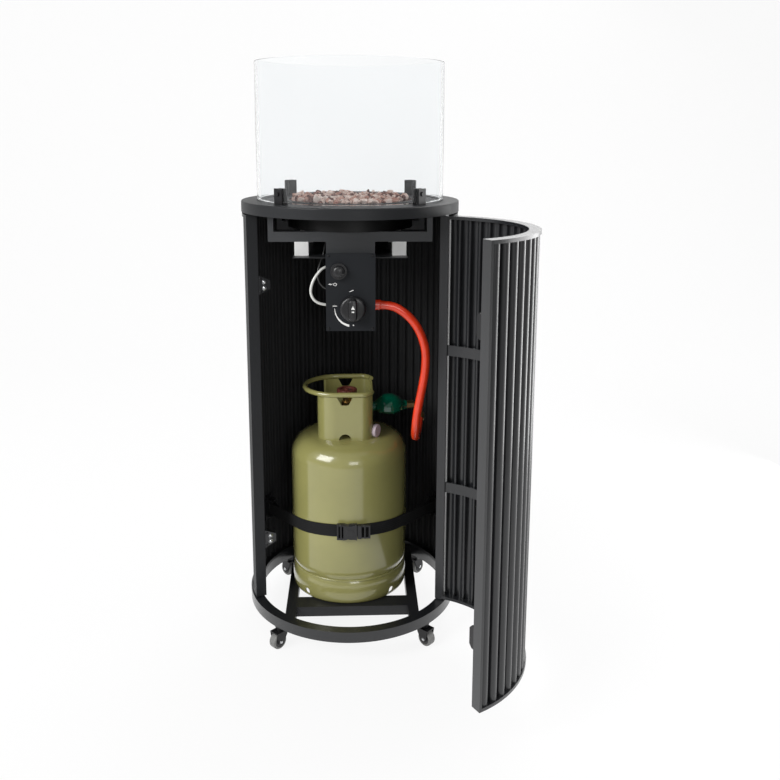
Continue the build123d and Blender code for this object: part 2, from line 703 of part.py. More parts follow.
bottle_top = bottle_shoulder_z + bottle_dome_height
bottle_solid = bottle_shape(0)
bottle_body = bottle_solid - bottle_shape(bottle_wall)
bottle_body -= tube(bottle_valve_radius, 0, 30, bottle_top - 10, valve_x, bottle_y)
parts["bottle_body"] = bottle_body
foot_bottom = bar_top
foot_top = foot_bottom + bottle_foot_height
foot_profile = Polyline(
    (bottle_foot_radius - foot_wall, foot_bottom), (bottle_foot_radius, foot_bottom),
    (bottle_foot_radius + foot_flare, foot_top), (bottle_foot_radius + foot_flare - foot_wall, foot_top),
    close=True)
bottle_foot = Pos(bottle_x, bottle_y, 0) * revolve(Plane.XZ * make_face(foot_profile), Axis.Z)
bottle_foot -= bottle_solid
for side in (-1, 1):
    hole = Pos(0, -bottle_foot_radius, foot_bottom + 11) * Rot(90, 0, 0) * Cylinder(foot_hole_radius, 30)
    bottle_foot -= Pos(bottle_x, bottle_y, 0) * at_angle(side * foot_hole_angle) * hole
parts["bottle_foot"] = bottle_foot


def collar_outline(inset):
    """Plan of the collar plate: flat front and back, round corners, larger ones on the left."""
    x0 = collar_x - collar_width / 2 + inset
    x1 = collar_x + collar_width / 2 - inset
    y0 = collar_y - collar_depth / 2 + inset
    y1 = collar_y + collar_depth / 2 - inset
    r = collar_right_corner - inset
    q = collar_left_corner - inset
    shape = make_face(Polyline((x0, y0), (x1, y0), (x1, y1), (x0, y1), close=True))
    right = shape.vertices().filter_by(lambda v: v.X > collar_x)
    shape = fillet(right, r)
    left = shape.vertices().filter_by(lambda v: v.X < x0 + 1)
    return fillet(left, q)


dome_foot = bottle_shoulder_z
collar = Pos(0, 0, dome_foot) * extrude(collar_outline(0), collar_top - dome_foot)
collar -= Pos(0, 0, dome_foot - 1) * extrude(collar_outline(collar_wall), collar_top - dome_foot + 2)
collar -= bottle_solid
collar_left = collar_x - collar_width / 2
collar -= block(collar_left - 1, collar_left + collar_left_corner, collar_gap_front, collar_gap_rear,
                dome_foot, collar_top + 1)
notch_top = collar_notch_width / 2
notch = Plane.XZ * make_face(Polyline(
    (-notch_top, 0), (notch_top, 0), (notch_top * 0.45, -collar_notch_depth),
    (-notch_top * 0.45, -collar_notch_depth), close=True))
notch = extrude(fillet(notch.vertices().sort_by(Axis.Z)[:2], 4.0), 2 * collar_depth, both=True)
collar -= Pos(collar_x, 0, collar_top) * notch
front_y = collar_y - collar_depth / 2
collar -= Pos(collar_x, front_y, bottle_top - 3) * Rot(90, 0, 0) * Cylinder(collar_foot_notch_radius, 20)
outlet_turn = Rot(0, 0, outlet_angle)
neck_hole = Rot(0, 90, 0) * Cylinder(regulator_neck_radius + 3, 40)
collar -= Pos(valve_x, bottle_y, outlet_z) * outlet_turn * Pos(54, 0, 0) * neck_hole
parts["bottle_collar"] = collar
rim = collar_wall / 2
rim_y0 = front_y + rim
rim_y1 = collar_y + collar_depth / 2 - rim
rim_x1 = collar_x + collar_width / 2 - rim
rim_r = collar_right_corner - rim
loop_x = collar_left + collar_left_corner + 5
bulge = (rim_y1 - rim_y0) / 2
corner_x = rim_x1 - rim_r
reach = math.radians(75)
handle_path = (
    ThreePointArc((corner_x + rim_r * math.sin(reach), rim_y0 + rim_r - rim_r * math.cos(reach)),
                  (corner_x + rim_r * math.sin(reach / 2), rim_y0 + rim_r - rim_r * math.cos(reach / 2)),
                  (corner_x, rim_y0))
    + Line((corner_x, rim_y0), (loop_x, rim_y0))
    + ThreePointArc((loop_x, rim_y0), (loop_x - bulge, collar_y), (loop_x, rim_y1))
    + Line((loop_x, rim_y1), (corner_x, rim_y1))
    + ThreePointArc((corner_x, rim_y1),
                    (corner_x + rim_r * math.sin(reach / 2), rim_y1 - rim_r + rim_r * math.cos(reach / 2)),
                    (corner_x + rim_r * math.sin(reach), rim_y1 - rim_r + rim_r * math.cos(reach)))
)
handle_section = Plane(origin=handle_path @ 0, z_dir=handle_path % 0) * Circle(handle_tube_radius)
handle = sweep(handle_section, path=handle_path)
handle = Pos(0, 0, collar_top + handle_tube_radius) * handle
parts["bottle_handle"] = handle

# Bottle valve with its handwheel, the coupling on its outlet, the regulator and the hose
valve_top = handwheel_z - 1.5
bottle_valve = tube(bottle_valve_radius, 0, outlet_z + 14 - bottle_top + 6, bottle_top - 6, valve_x, bottle_y)
bottle_valve += tube(bottle_valve_radius + 4, 0, 8, bottle_top + 2, valve_x, bottle_y)
bottle_valve += tube(bottle_valve_radius - 3, 0, valve_top - outlet_z, outlet_z, valve_x, bottle_y)
inside_bottle = bottle_shape(bottle_wall)
bottle_valve -= inside_bottle - tube(bottle_valve_radius, 0, 60, bottle_top - 30, valve_x, bottle_y)


def along_outlet(start, length, radius, sides=0):
    """Round or many-sided piece on the line of the valve outlet."""
    section = Circle(radius) if sides == 0 else RegularPolygon(radius, sides)
    body = Rot(0, 90, 0) * extrude(section, length)
    return Pos(valve_x, bottle_y, outlet_z) * outlet_turn * Pos(start, 0, 0) * body


bottle_valve += along_outlet(0, coupling_start + 5, outlet_pipe_radius)
bottle_valve -= tube(4.0 + spindle_clearance, 0, 20, valve_top - 14, valve_x, bottle_y)
parts["bottle_valve"] = bottle_valve
handwheel = tube(handwheel_radius, 0, handwheel_height, handwheel_z, valve_x, bottle_y)
handwheel = fillet(handwheel.edges().filter_by(GeomType.CIRCLE), 1.5)
for i in range(10):
    handwheel -= Pos(valve_x, bottle_y, 0) * at_angle(36 * i) * tube(
        3.2, 0, 20, handwheel_z - 2, 0, -handwheel_radius - 1.2)
handwheel -= tube(handwheel_radius - 6, 0, 4, handwheel_z + handwheel_height - 3, valve_x, bottle_y)
handwheel += tube(4.0, 0, 12, handwheel_z - 10, valve_x, bottle_y)
handwheel += tube(4.5, 0, 3.5, handwheel_z + handwheel_height - 3.2, valve_x, bottle_y)
parts["valve_handwheel"] = handwheel
coupling = along_outlet(coupling_start, coupling_length, coupling_radius, 6)
coupling -= along_outlet(coupling_start - 1, 6, outlet_pipe_radius)
coupling -= along_outlet(coupling_start + 5, coupling_length, regulator_neck_radius - 2)
parts["regulator_coupling"] = coupling
reg_low = outlet_z - regulator_neck_radius - 1
cap_rise = regulator_height - 15
cap_curve = (regulator_radius**2 + cap_rise**2) / (2 * cap_rise)
cap_centre = reg_low + regulator_height - cap_curve
cap_half = math.asin(regulator_radius / cap_curve) / 2
reg_profile = [
    Line((0, reg_low), (regulator_radius * 0.8, reg_low)),
    Line((regulator_radius * 0.8, reg_low), (regulator_radius, reg_low + 6)),
    Line((regulator_radius, reg_low + 6), (regulator_radius, reg_low + 15)),
    ThreePointArc((regulator_radius, reg_low + 15),
                  (cap_curve * math.sin(cap_half), cap_centre + cap_curve * math.cos(cap_half)),
                  (0, reg_low + regulator_height)),
    Line((0, reg_low + regulator_height), (0, reg_low)),
]
dome_spot = Pos(valve_x, bottle_y, 0) * outlet_turn * Pos(regulator_distance, 0, 0)
regulator = dome_spot * revolve(Plane.XZ * make_face(reg_profile), Axis.Z)
neck_profile = Polyline(
    (coupling_start + 5, 0), (coupling_start + 5, regulator_neck_radius - 2),
    (coupling_start + coupling_length, regulator_neck_radius - 2),
    (coupling_start + coupling_length, regulator_neck_radius),
    (regulator_distance - 5, regulator_neck_radius),
    (regulator_distance + regulator_radius - 12, regulator_neck_radius + 2),
    (outlet_nut_distance, outlet_nut_radius), (outlet_nut_distance, 0), close=True)
neck = revolve(make_face(neck_profile), Axis.X)
regulator += Pos(valve_x, bottle_y, outlet_z) * outlet_turn * neck
parts["regulator_body"] = regulator
outlet = along_outlet(outlet_nut_distance, outlet_nut_length, outlet_nut_radius, 6)
end_point = Vector(*hose_points[-1])
end_run = (Vector(*hose_points[-2]) - end_point).normalized()
elbow_start = Vector(outlet_nut_distance + outlet_nut_length, 0, 0).rotate(Axis.Z, outlet_angle)
elbow_start = elbow_start + Vector(valve_x, bottle_y, outlet_z)
elbow_dir = Vector(1, 0, 0).rotate(Axis.Z, outlet_angle)
elbow_corner = end_point - end_run * 16
elbow = Pos(*elbow_start) * Sphere(6.0)
tail = Plane(origin=elbow_start, z_dir=elbow_corner - elbow_start)
elbow += extrude(tail * Circle(5.5), (elbow_corner - elbow_start).length)
elbow += Pos(*elbow_corner) * Sphere(5.5)
tail = Plane(origin=elbow_corner, z_dir=end_run)
elbow += extrude(tail * Circle(5.0), (end_point - elbow_corner).length)
parts["regulator_outlet"] = outlet + elbow
hose = routed_tube("gas_hose", hose_points, hose_radius)
parts["gas_hose"] = hose


def ferrule(point, inward, cover, tail_radius, tail_length):
    """Crimped sleeve over one end of the hose and round the fitting it sits on."""
    spot = Plane(origin=point, z_dir=inward)
    sleeve = extrude(spot * Circle(hose_radius + ferrule_gap + ferrule_wall), cover)
    sleeve -= extrude(spot * Circle(hose_radius + ferrule_gap), cover)
    back = Plane(origin=point, z_dir=inward * -1)
    collar_ring = extrude(back * Circle(hose_radius + ferrule_gap + ferrule_wall), tail_length)
    collar_ring -= extrude(back * Circle(tail_radius), tail_length)
    return sleeve + collar_ring


start_run = (Vector(*hose_points[1]) - Vector(*hose_points[0])).normalized()
parts["hose_ferrules"] = Compound(children=[
    ferrule(Vector(*hose_points[0]), start_run, 11, nipple_radius, 5),
    ferrule(end_point, end_run, 9, 5.0, 5)])
parts["igniter_lead"] = routed_tube("igniter_lead", lead_points, lead_radius)
parts["thermocouple_lead"] = routed_tube("thermocouple_lead", probe_lead_points, probe_lead_radius)
cap = Rot(0, 90, 0) * Cylinder(cap_radius, cap_thickness)
cap = chamfer(cap.edges().filter_by(GeomType.CIRCLE), 1.2)
cap += Rot(0, -90, 0) * Cylinder(2.5, 30, align=(Align.CENTER, Align.CENTER, Align.MIN))
cap = Pos(cap_position[0], cap_position[1], bottle_top + cap_radius - 4.5) * Rot(0, 0, cap_turn) * cap
collar_full = Pos(0, 0, dome_foot) * extrude(collar_outline(0), collar_top - dome_foot)
cap = cap - collar_full - bottle_solid
parts["outlet_cap"] = cap.solids().sort_by(SortBy.VOLUME)[-1]

# Webbing strap round the bottle, held at the shell, with a two-part buckle in front
anchor_r = flute_root_radius - flute_wall
bar_r = anchor_r - anchor_plate - 8
strap_r = bottle_radius + strap_thickness


def tangent_path(side):
    """Where the strap leaves the bottle and where it meets the anchor bar, in plan."""
    bar = polar(bar_r, side * strap_anchor_angle)
    dx = bar[0] - bottle_x
    dy = bar[1] - bottle_y
    turn = math.atan2(dy, dx)
    off = math.acos((bottle_radius + strap_thickness / 2) / math.hypot(dx, dy))
    leave = turn - off if side > 0 else turn + off
    return bar, leave


strap_plan = []
right_bar, right_leave = tangent_path(1)
left_bar, left_leave = tangent_path(-1)
mid_r = bottle_radius + strap_thickness / 2


def strap_point(angle, radius):
    return (bottle_x + radius * math.cos(angle), bottle_y + radius * math.sin(angle))


front_angle = -math.pi / 2
left_turn = left_leave - 2 * math.pi if left_leave > 0 else left_leave
wrap = [
    Line(strap_point(right_leave, bottle_radius), strap_point(right_leave, strap_r)),
    ThreePointArc(strap_point(right_leave, strap_r), strap_point(front_angle, strap_r),
                  strap_point(left_turn, strap_r)),
    Line(strap_point(left_turn, strap_r), strap_point(left_turn, bottle_radius)),
    ThreePointArc(strap_point(left_turn, bottle_radius), strap_point(front_angle, bottle_radius),
                  strap_point(right_leave, bottle_radius)),
]
strap = extrude(make_face(wrap), 160)
for bar, angle in ((right_bar, right_leave), (left_bar, left_turn)):
    start = Vector(*strap_point(angle, mid_r))
    stop = Vector(bar[0], bar[1])
    run = (stop - start).length
    heading = math.degrees(math.atan2(stop.Y - start.Y, stop.X - start.X))
    strip = Box(run, strap_thickness, 160, align=(Align.MIN, Align.CENTER, Align.MIN))
    strap += Pos(start.X, start.Y, 0) * Rot(0, 0, heading) * strip
for bar in (right_bar, left_bar):
    strap += tube(anchor_bar_radius + strap_thickness, 0, 160, 0, bar[0], bar[1])
for bar in (right_bar, left_bar):
    strap -= tube(anchor_bar_radius, 0, 160, 0, bar[0], bar[1])
strap = Pos(0, 0, strap_level - 80) * strap
tilted = Box(3 * top_ring_radius, 3 * top_ring_radius, strap_width)
tilted = Pos(0, 0, strap_level) * Rot(-strap_tilt, 0, 0) * tilted
strap = strap & tilted
parts["bottle_strap"] = strap.solids().sort_by(SortBy.VOLUME)[-1]
anchors = []
for side, bar in ((1, right_bar), (-1, left_bar)):
    level = strap_level - bar[1] * math.tan(math.radians(strap_tilt))
    a = side * strap_anchor_angle
    low = level - strap_width / 2 - 6
    high = level + strap_width / 2 + 6
    anchor = arc_band(anchor_r - anchor_plate, anchor_r, a - 5, a + 5, low - 6, high + 6)
    for z0, z1 in ((low, low + 3), (high - 3, high)):
        anchor += at_angle(a) * block(-7, 7, -anchor_r + anchor_plate / 2, -bar_r + 6, z0, z1)
    anchor += tube(anchor_bar_radius, 0, high - low, low, bar[0], bar[1])
    anchors.append(anchor)
parts["strap_anchors"] = Compound(children=anchors)
strap_front = bottle_y - strap_r
strap_front_z = strap_level - strap_front * math.tan(math.radians(strap_tilt))
strap_round = tube(strap_r, 0, 2 * buckle_height, strap_front_z - buckle_height, bottle_x, bottle_y)
for name, x0, x1 in (("buckle_socket", buckle_left, buckle_joint),
                     ("buckle_plug", buckle_joint, buckle_right)):
    inset = 0 if name == "buckle_socket" else 2.5
    piece = block(x0, x1, strap_front - buckle_thickness + inset, strap_front + 12,
                  strap_front_z - buckle_height / 2 + inset, strap_front_z + buckle_height / 2 - inset)
    piece = fillet(piece.edges().filter_by(Axis.Y), 3.0)
    piece = fillet(piece.edges().sort_by(Axis.Y)[:4], 1.5)
    parts[name] = piece - strap_round

# Shell behind and beside the door: two posts, two rails and the fluted sheet
post_half = math.degrees(math.atan(post_width / 2 / rail_mid_radius))
post_angle = post_start_angle + post_half


def upright(angle, width, z0, z1, wall=0.0):
    """Square bar or tube standing in the wall of the pillar."""
    body = block(-width / 2, width / 2, -rail_outer_radius, -rail_inner_radius, z0, z1)
    if wall > 0:
        body -= block(-width / 2 + wall, width / 2 - wall, -rail_outer_radius + wall,
                      -rail_inner_radius - wall, z0 + 30, z1 - 30)
    return at_angle(angle) * body


posts = [upright(side * post_angle, post_width, shell_bottom, shell_top, post_wall) for side in (1, -1)]
parts["shell_posts"] = Compound(children=posts)
post_fill = [upright(side * post_angle, post_width, shell_bottom, shell_top) for side in (1, -1)]
shell_from = post_angle + post_half * 0.9
shell_to = 360 - shell_from
rails = []
for z0 in (shell_bottom, shell_top - rail_thickness):
    rail = arc_band(rail_inner_radius, rail_outer_radius, shell_from - 0.6, shell_to + 0.6,
                    z0, z0 + rail_thickness)
    rails.append(rail - post_fill[0] - post_fill[1])
parts["shell_rails"] = Compound(children=rails)
shell_panel = fluted_sheet(shell_from, shell_to, shell_bottom + rail_thickness, shell_top - rail_thickness)
shell_panel = shell_panel - post_fill[0] - post_fill[1]
parts["shell_panel"] = shell_panel
spacers = []
for angle in (79, 112, 160, 200, 248, 281):
    x, y, z = polar(rail_mid_radius, angle)
    spacers.append(tube(6.0, 2.6, ring_under - shell_top, shell_top, x, y))
    spacers.append(tube(8.0, 2.6, shell_bottom - base_top, base_top, x, y))
parts["shell_spacers"] = Compound(children=spacers)

# Door, drawn closed and then swung open on its two pins
door_bottom = shell_bottom
door_top = shell_top
stile_turn = math.degrees(math.atan(free_stile_width / 2 / rail_mid_radius))
free_angle = door_free_angle + stile_turn
hinge_half = math.degrees(math.atan(hinge_stile_width / 2 / rail_mid_radius))
hinge_stile = upright(hinge_angle, hinge_stile_width, door_bottom, door_top, post_wall)
free_stile = upright(free_angle, free_stile_width, door_bottom, door_top)
stile_fill = upright(hinge_angle, hinge_stile_width, door_bottom, door_top) + free_stile
for z0 in (door_bottom - 1, door_top - pivot_length):
    hinge_stile -= tube(pivot_radius, 0, pivot_length + 1, z0, pivot_x, pivot_y)
parts["door_stiles"] = Compound(children=[pose_door(hinge_stile), pose_door(free_stile)])
door_from = free_angle + stile_turn * 0.5
door_to = hinge_angle - hinge_half * 0.9
door_rails = []
for z0 in (door_bottom, door_top - rail_thickness):
    rail = arc_band(rail_inner_radius, rail_outer_radius, door_from, door_to + 0.6, z0, z0 + rail_thickness)
    door_rails.append(pose_door(rail - stile_fill))
parts["door_rails"] = Compound(children=door_rails)
door_panel = fluted_sheet(door_from, door_to, door_bottom + rail_thickness, door_top - rail_thickness)
door_panel = door_panel - stile_fill
parts["door_panel"] = pose_door(door_panel)
mid_outer = flute_root_radius - flute_wall
mid_rails = []
for level in (mid_rail_upper_z, mid_rail_lower_z):
    rail = arc_band(mid_outer - mid_rail_thickness, mid_outer, door_from, door_to + 0.8,
                    level - mid_rail_height / 2, level + mid_rail_height / 2)
    mid_rails.append(pose_door(rail - stile_fill))
parts["door_mid_rails"] = Compound(children=mid_rails)
top_pin_length = pivot_length + door_gap + lug_thickness + 3
top_pin = tube(pivot_radius, 0, top_pin_length, door_top - pivot_length, pivot_x, pivot_y)
pin_foot = base_top - 12
bottom_pin = tube(pivot_radius, 0, door_bottom + pivot_length - pin_foot, pin_foot, pivot_x, pivot_y)
bottom_pin += tube(pivot_radius + 2.5, 0, door_bottom - base_top - 0.1, base_top + 0.1, pivot_x, pivot_y)
parts["door_pivots"] = Compound(children=[top_pin, bottom_pin])

# Ball catches on the left post and strikes on the door's free edge
catches = []
strikes = []
strike_mid = free_angle
strike_back = math.degrees((strike_thickness / 2) / (rail_inner_radius - strike_depth / 2))
ball_front = strike_mid - strike_back - math.degrees(strike_gap / rail_inner_radius)
catch_turn = math.radians(strike_mid - ball_front)
catch_front_offset = (rail_inner_radius - catch_width / 2) * catch_turn + catch_ball_radius
for level in (catch_upper_z, catch_lower_z):
    x1 = -catch_front_offset
    side_view = Polyline(
        (-rail_inner_radius, level - catch_height / 2), (-rail_inner_radius, level + catch_height / 2),
        (-rail_inner_radius + catch_width, level + catch_tip_height / 2),
        (-rail_inner_radius + catch_width, level - catch_tip_height / 2), close=True)
    body = extrude(Plane.YZ * make_face(side_view), -catch_depth)
    body = Pos(x1, 0, 0) * body
    for spread in (-catch_ball_spread, catch_ball_spread):
        body += Pos(x1, -rail_inner_radius + catch_width * 0.5, level + spread) * Sphere(catch_ball_radius)
    catches.append(at_angle(strike_mid) * body - post_fill[1])
    tab = block(-strike_thickness / 2, strike_thickness / 2, -rail_inner_radius,
                -rail_inner_radius + strike_depth, level - strike_height / 2, level + strike_height / 2)
    tab = chamfer(tab.edges().filter_by(Axis.X).sort_by(Axis.Y)[-2:], strike_depth * 0.5)
    strikes.append(pose_door(at_angle(strike_mid) * tab))
parts["door_catches"] = Compound(children=catches)
parts["door_strikes"] = Compound(children=strikes)

# Base: channel ring, channel bars for the bottle and bosses for the castors and the lower pin
ring_mid = (bottom_ring_radius + bottom_ring_inner) / 2
wall = bottom_ring_wall
channel_profile = Polyline(
    (bottom_ring_inner, ring_bottom), (bottom_ring_inner, base_top), (bottom_ring_radius, base_top),
    (bottom_ring_radius, ring_bottom), (bottom_ring_radius - wall, ring_bottom),
    (bottom_ring_radius - wall, base_top - wall), (bottom_ring_inner + wall, base_top - wall),
    (bottom_ring_inner + wall, ring_bottom), close=True)
bottom_ring = revolve(Plane.XZ * make_face(channel_profile), Axis.Z)
boss_reach = math.degrees(13 / ring_mid)
for angle in castor_angles:
    bottom_ring += arc_band(bottom_ring_inner + wall / 2, bottom_ring_radius - wall / 2,
                            angle - boss_reach, angle + boss_reach,
                            ring_bottom, ring_bottom + castor_stem_length - 2)
bottom_ring += arc_band(bottom_ring_inner + wall / 2, bottom_ring_radius - wall / 2,
                        hinge_angle - 4, hinge_angle + 4, base_top - 8, base_top)
for angle in castor_angles:
    x, y, z = polar(castor_circle_radius, angle)
    bottom_ring -= tube(castor_stem_radius + 0.05, 0, castor_stem_length + 2, ring_bottom - 2, x, y)
bottom_ring -= tube(pivot_radius + pivot_clearance, 0, 30, base_top - 20, pivot_x, pivot_y)
parts["bottom_ring"] = bottom_ring
side_low = side_bar_offset - frame_bar / 2
side_high = side_bar_offset + frame_bar / 2
inside = tube(bottom_ring_inner, 0, bar_height, ring_bottom)
frame = block(-side_high, -side_low, -200, 200, ring_bottom, bar_top)
frame += block(side_low, side_high, -200, 200, ring_bottom, bar_top)
frame = frame & inside
for y0 in (-cross_bar_inner - cross_bar_depth, cross_bar_inner):
    frame += block(-side_low - 1, side_low + 1, y0, y0 + cross_bar_depth, ring_bottom, bar_top)
    frame -= block(-side_low + wall, side_low - wall, y0 + wall, y0 + cross_bar_depth - wall,
                   ring_bottom - 1, bar_top - wall)
for side in (-1, 1):
    frame -= block(side * side_bar_offset - frame_bar / 2 + wall,
                   side * side_bar_offset + frame_bar / 2 - wall,
                   -120, 120, ring_bottom - 1, bar_top - wall)
parts["base_frame"] = frame

# Castors, drawn at the front and turned round the pillar: the wheels trail outward
stem_y = -castor_circle_radius
axle_y = stem_y - castor_trail
fork_half = wheel_width / 2 + fork_side_gap + fork_wall
crown_low = wheel_radius * 2 + 1.5
plate_top_z = ring_bottom - 0.3
fork_side = Polyline(
    (stem_y + 9, crown_low + 2.5), (stem_y - castor_trail - 10, crown_low + 2.5),
    (axle_y - 6, wheel_radius - 3), (axle_y - 3, wheel_radius - 6), (axle_y + 3, wheel_radius - 6),
    (axle_y + 6, wheel_radius - 3), (stem_y + 9, crown_low - 5), close=True)
fork_plate = extrude(Plane.YZ * make_face(fork_side), fork_half, both=True)
fork_plate -= block(-fork_half + fork_wall, fork_half - fork_wall, 2 * stem_y, 0, 0, crown_low)
fork_axle = Pos(0, axle_y, wheel_radius) * Rot(0, 90, 0) * Cylinder(castor_axle_radius, 2 * fork_half + 3)
fork = fork_plate + fork_axle
fork += tube(6.0, 0, plate_top_z - castor_plate_height + 0.5 - crown_low - 1, crown_low + 1, 0, stem_y)
fork += tube(castor_plate_radius, 0, castor_plate_height, plate_top_z - castor_plate_height, 0, stem_y)
fork += tube(castor_stem_radius, 0, castor_stem_length - 2.5, plate_top_z - 0.5, 0, stem_y)
wheel = Pos(0, axle_y, wheel_radius) * Rot(0, 90, 0) * Cylinder(wheel_radius, wheel_width)
wheel = fillet(wheel.edges().filter_by(GeomType.CIRCLE), 3.0)
for side in (-1, 1):
    recess = Rot(0, 90, 0) * (Cylinder(wheel_radius - 4.5, 2.4) - Cylinder(castor_axle_radius + 2.5, 2.4))
    wheel -= Pos(side * wheel_width / 2, axle_y, wheel_radius) * recess
wheel -= Pos(0, axle_y, wheel_radius) * Rot(0, 90, 0) * Cylinder(
    castor_axle_radius + wheel_bore_clearance, wheel_width + 2)
for i, angle in enumerate(castor_angles, start=1):
    parts[f"castor_fork_{i}"] = at_angle(angle) * fork
    parts[f"castor_wheel_{i}"] = at_angle(angle) * wheel

for name, shape in parts.items():
    export_step(shape, f"parts/{name}.step")
print(len(parts), "parts")
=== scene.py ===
# Outdoor gas fire: round pillar on castors, door open, gas bottle inside
import bpy, bmesh, math, random
from mathutils import Vector, Matrix, noise


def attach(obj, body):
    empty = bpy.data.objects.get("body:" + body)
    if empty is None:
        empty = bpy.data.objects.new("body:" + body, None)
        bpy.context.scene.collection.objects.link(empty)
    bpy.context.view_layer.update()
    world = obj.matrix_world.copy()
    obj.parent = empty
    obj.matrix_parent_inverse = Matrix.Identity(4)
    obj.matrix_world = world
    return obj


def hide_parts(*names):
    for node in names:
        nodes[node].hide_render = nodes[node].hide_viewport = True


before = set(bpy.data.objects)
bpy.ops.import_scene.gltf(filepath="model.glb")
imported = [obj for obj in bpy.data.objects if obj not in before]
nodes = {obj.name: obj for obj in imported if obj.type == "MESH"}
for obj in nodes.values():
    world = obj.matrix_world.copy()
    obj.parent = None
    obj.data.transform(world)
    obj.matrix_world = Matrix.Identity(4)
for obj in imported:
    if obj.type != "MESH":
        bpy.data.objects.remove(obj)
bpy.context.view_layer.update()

scene = bpy.context.scene
print("frame loaded:", len(nodes), "nodes")

# Camera, a little above the glass and looking down on the open front
cameraView = {
    "place": (0.00719, -1.6849, 0.980),
    "pitchDown": 11.331,
    "yawRight": 2.329,
    "roll": 0.197,
    "lens": 40.8,
    "shiftY": -0.11,
}
cameraData = bpy.data.cameras.new("studioCamera")
camera = bpy.data.objects.new("studioCamera", cameraData)
scene.collection.objects.link(camera)
cameraData.lens = cameraView["lens"]
cameraData.sensor_width = 36
cameraData.shift_y = cameraView["shiftY"]
turnCamera = (Matrix.Rotation(math.radians(-cameraView["yawRight"]), 4, "Z")
              @ Matrix.Rotation(math.radians(90 - cameraView["pitchDown"]), 4, "X")
              @ Matrix.Rotation(math.radians(cameraView["roll"]), 4, "Z"))
camera.matrix_world = Matrix.Translation(cameraView["place"]) @ turnCamera
scene.camera = camera


def startMaterial(name, rough, metal=0.0):
    mat = bpy.data.materials.new(name)
    mat.use_nodes = True
    shader = mat.node_tree.nodes["Principled BSDF"]
    shader.inputs["Roughness"].default_value = rough
    shader.inputs["Metallic"].default_value = metal
    return mat, mat.node_tree, shader


def objectCoords(tree, scale=(1, 1, 1)):
    coords = tree.nodes.new("ShaderNodeTexCoord")
    if tuple(scale) == (1, 1, 1):
        return coords.outputs["Object"]
    mapping = tree.nodes.new("ShaderNodeMapping")
    mapping.inputs["Scale"].default_value = scale
    tree.links.new(coords.outputs["Object"], mapping.inputs["Vector"])
    return mapping.outputs["Vector"]


def noiseNode(tree, scale, detail=3.0, stretch=(1, 1, 1), roughness=0.5):
    node = tree.nodes.new("ShaderNodeTexNoise")
    node.inputs["Scale"].default_value = scale
    node.inputs["Detail"].default_value = detail
    node.inputs["Roughness"].default_value = roughness
    tree.links.new(objectCoords(tree, stretch), node.inputs["Vector"])
    return node


def rampNode(tree, source, stops):
    ramp = tree.nodes.new("ShaderNodeValToRGB")
    ramp.color_ramp.elements[0].position = stops[0][0]
    ramp.color_ramp.elements[0].color = (*stops[0][1], 1)
    ramp.color_ramp.elements[1].position = stops[-1][0]
    ramp.color_ramp.elements[1].color = (*stops[-1][1], 1)
    for place, colour in stops[1:-1]:
        ramp.color_ramp.elements.new(place).color = (*colour, 1)
    tree.links.new(source, ramp.inputs["Fac"])
    return ramp.outputs["Color"]


def colourFrom(tree, shader, source, stops):
    tree.links.new(rampNode(tree, source, stops), shader.inputs["Base Color"])


def toned(colour, share):
    return tuple(c * share for c in colour)


def roughnessFrom(tree, shader, source, low, high):
    span = tree.nodes.new("ShaderNodeMapRange")
    span.inputs["To Min"].default_value = low
    span.inputs["To Max"].default_value = high
    tree.links.new(source, span.inputs["Value"])
    tree.links.new(span.outputs["Result"], shader.inputs["Roughness"])


def bumpFrom(tree, shader, source, strength, distance, before=None):
    bump = tree.nodes.new("ShaderNodeBump")
    bump.inputs["Strength"].default_value = strength
    bump.inputs["Distance"].default_value = distance
    tree.links.new(source, bump.inputs["Height"])
    if before:
        tree.links.new(before, bump.inputs["Normal"])
    tree.links.new(bump.outputs["Normal"], shader.inputs["Normal"])
    return bump.outputs["Normal"]


# Finishes
def powderCoat(name, colour, rough, gloss, grain=1.0):
    mat, tree, shader = startMaterial(name, rough)
    cloud = noiseNode(tree, 6.0, 4.0)
    colourFrom(tree, shader, cloud.outputs["Fac"], [(0.3, toned(colour, 0.88)), (0.7, toned(colour, 1.14))])
    peel = noiseNode(tree, 900.0, 2.0)
    roughnessFrom(tree, shader, peel.outputs["Fac"], rough - 0.06, rough + 0.08)
    bumpFrom(tree, shader, peel.outputs["Fac"], 0.16 * grain, 0.0004)
    shader.inputs["Specular IOR Level"].default_value = 0.2
    shader.inputs["Coat Weight"].default_value = gloss
    shader.inputs["Coat Roughness"].default_value = 0.24
    return mat


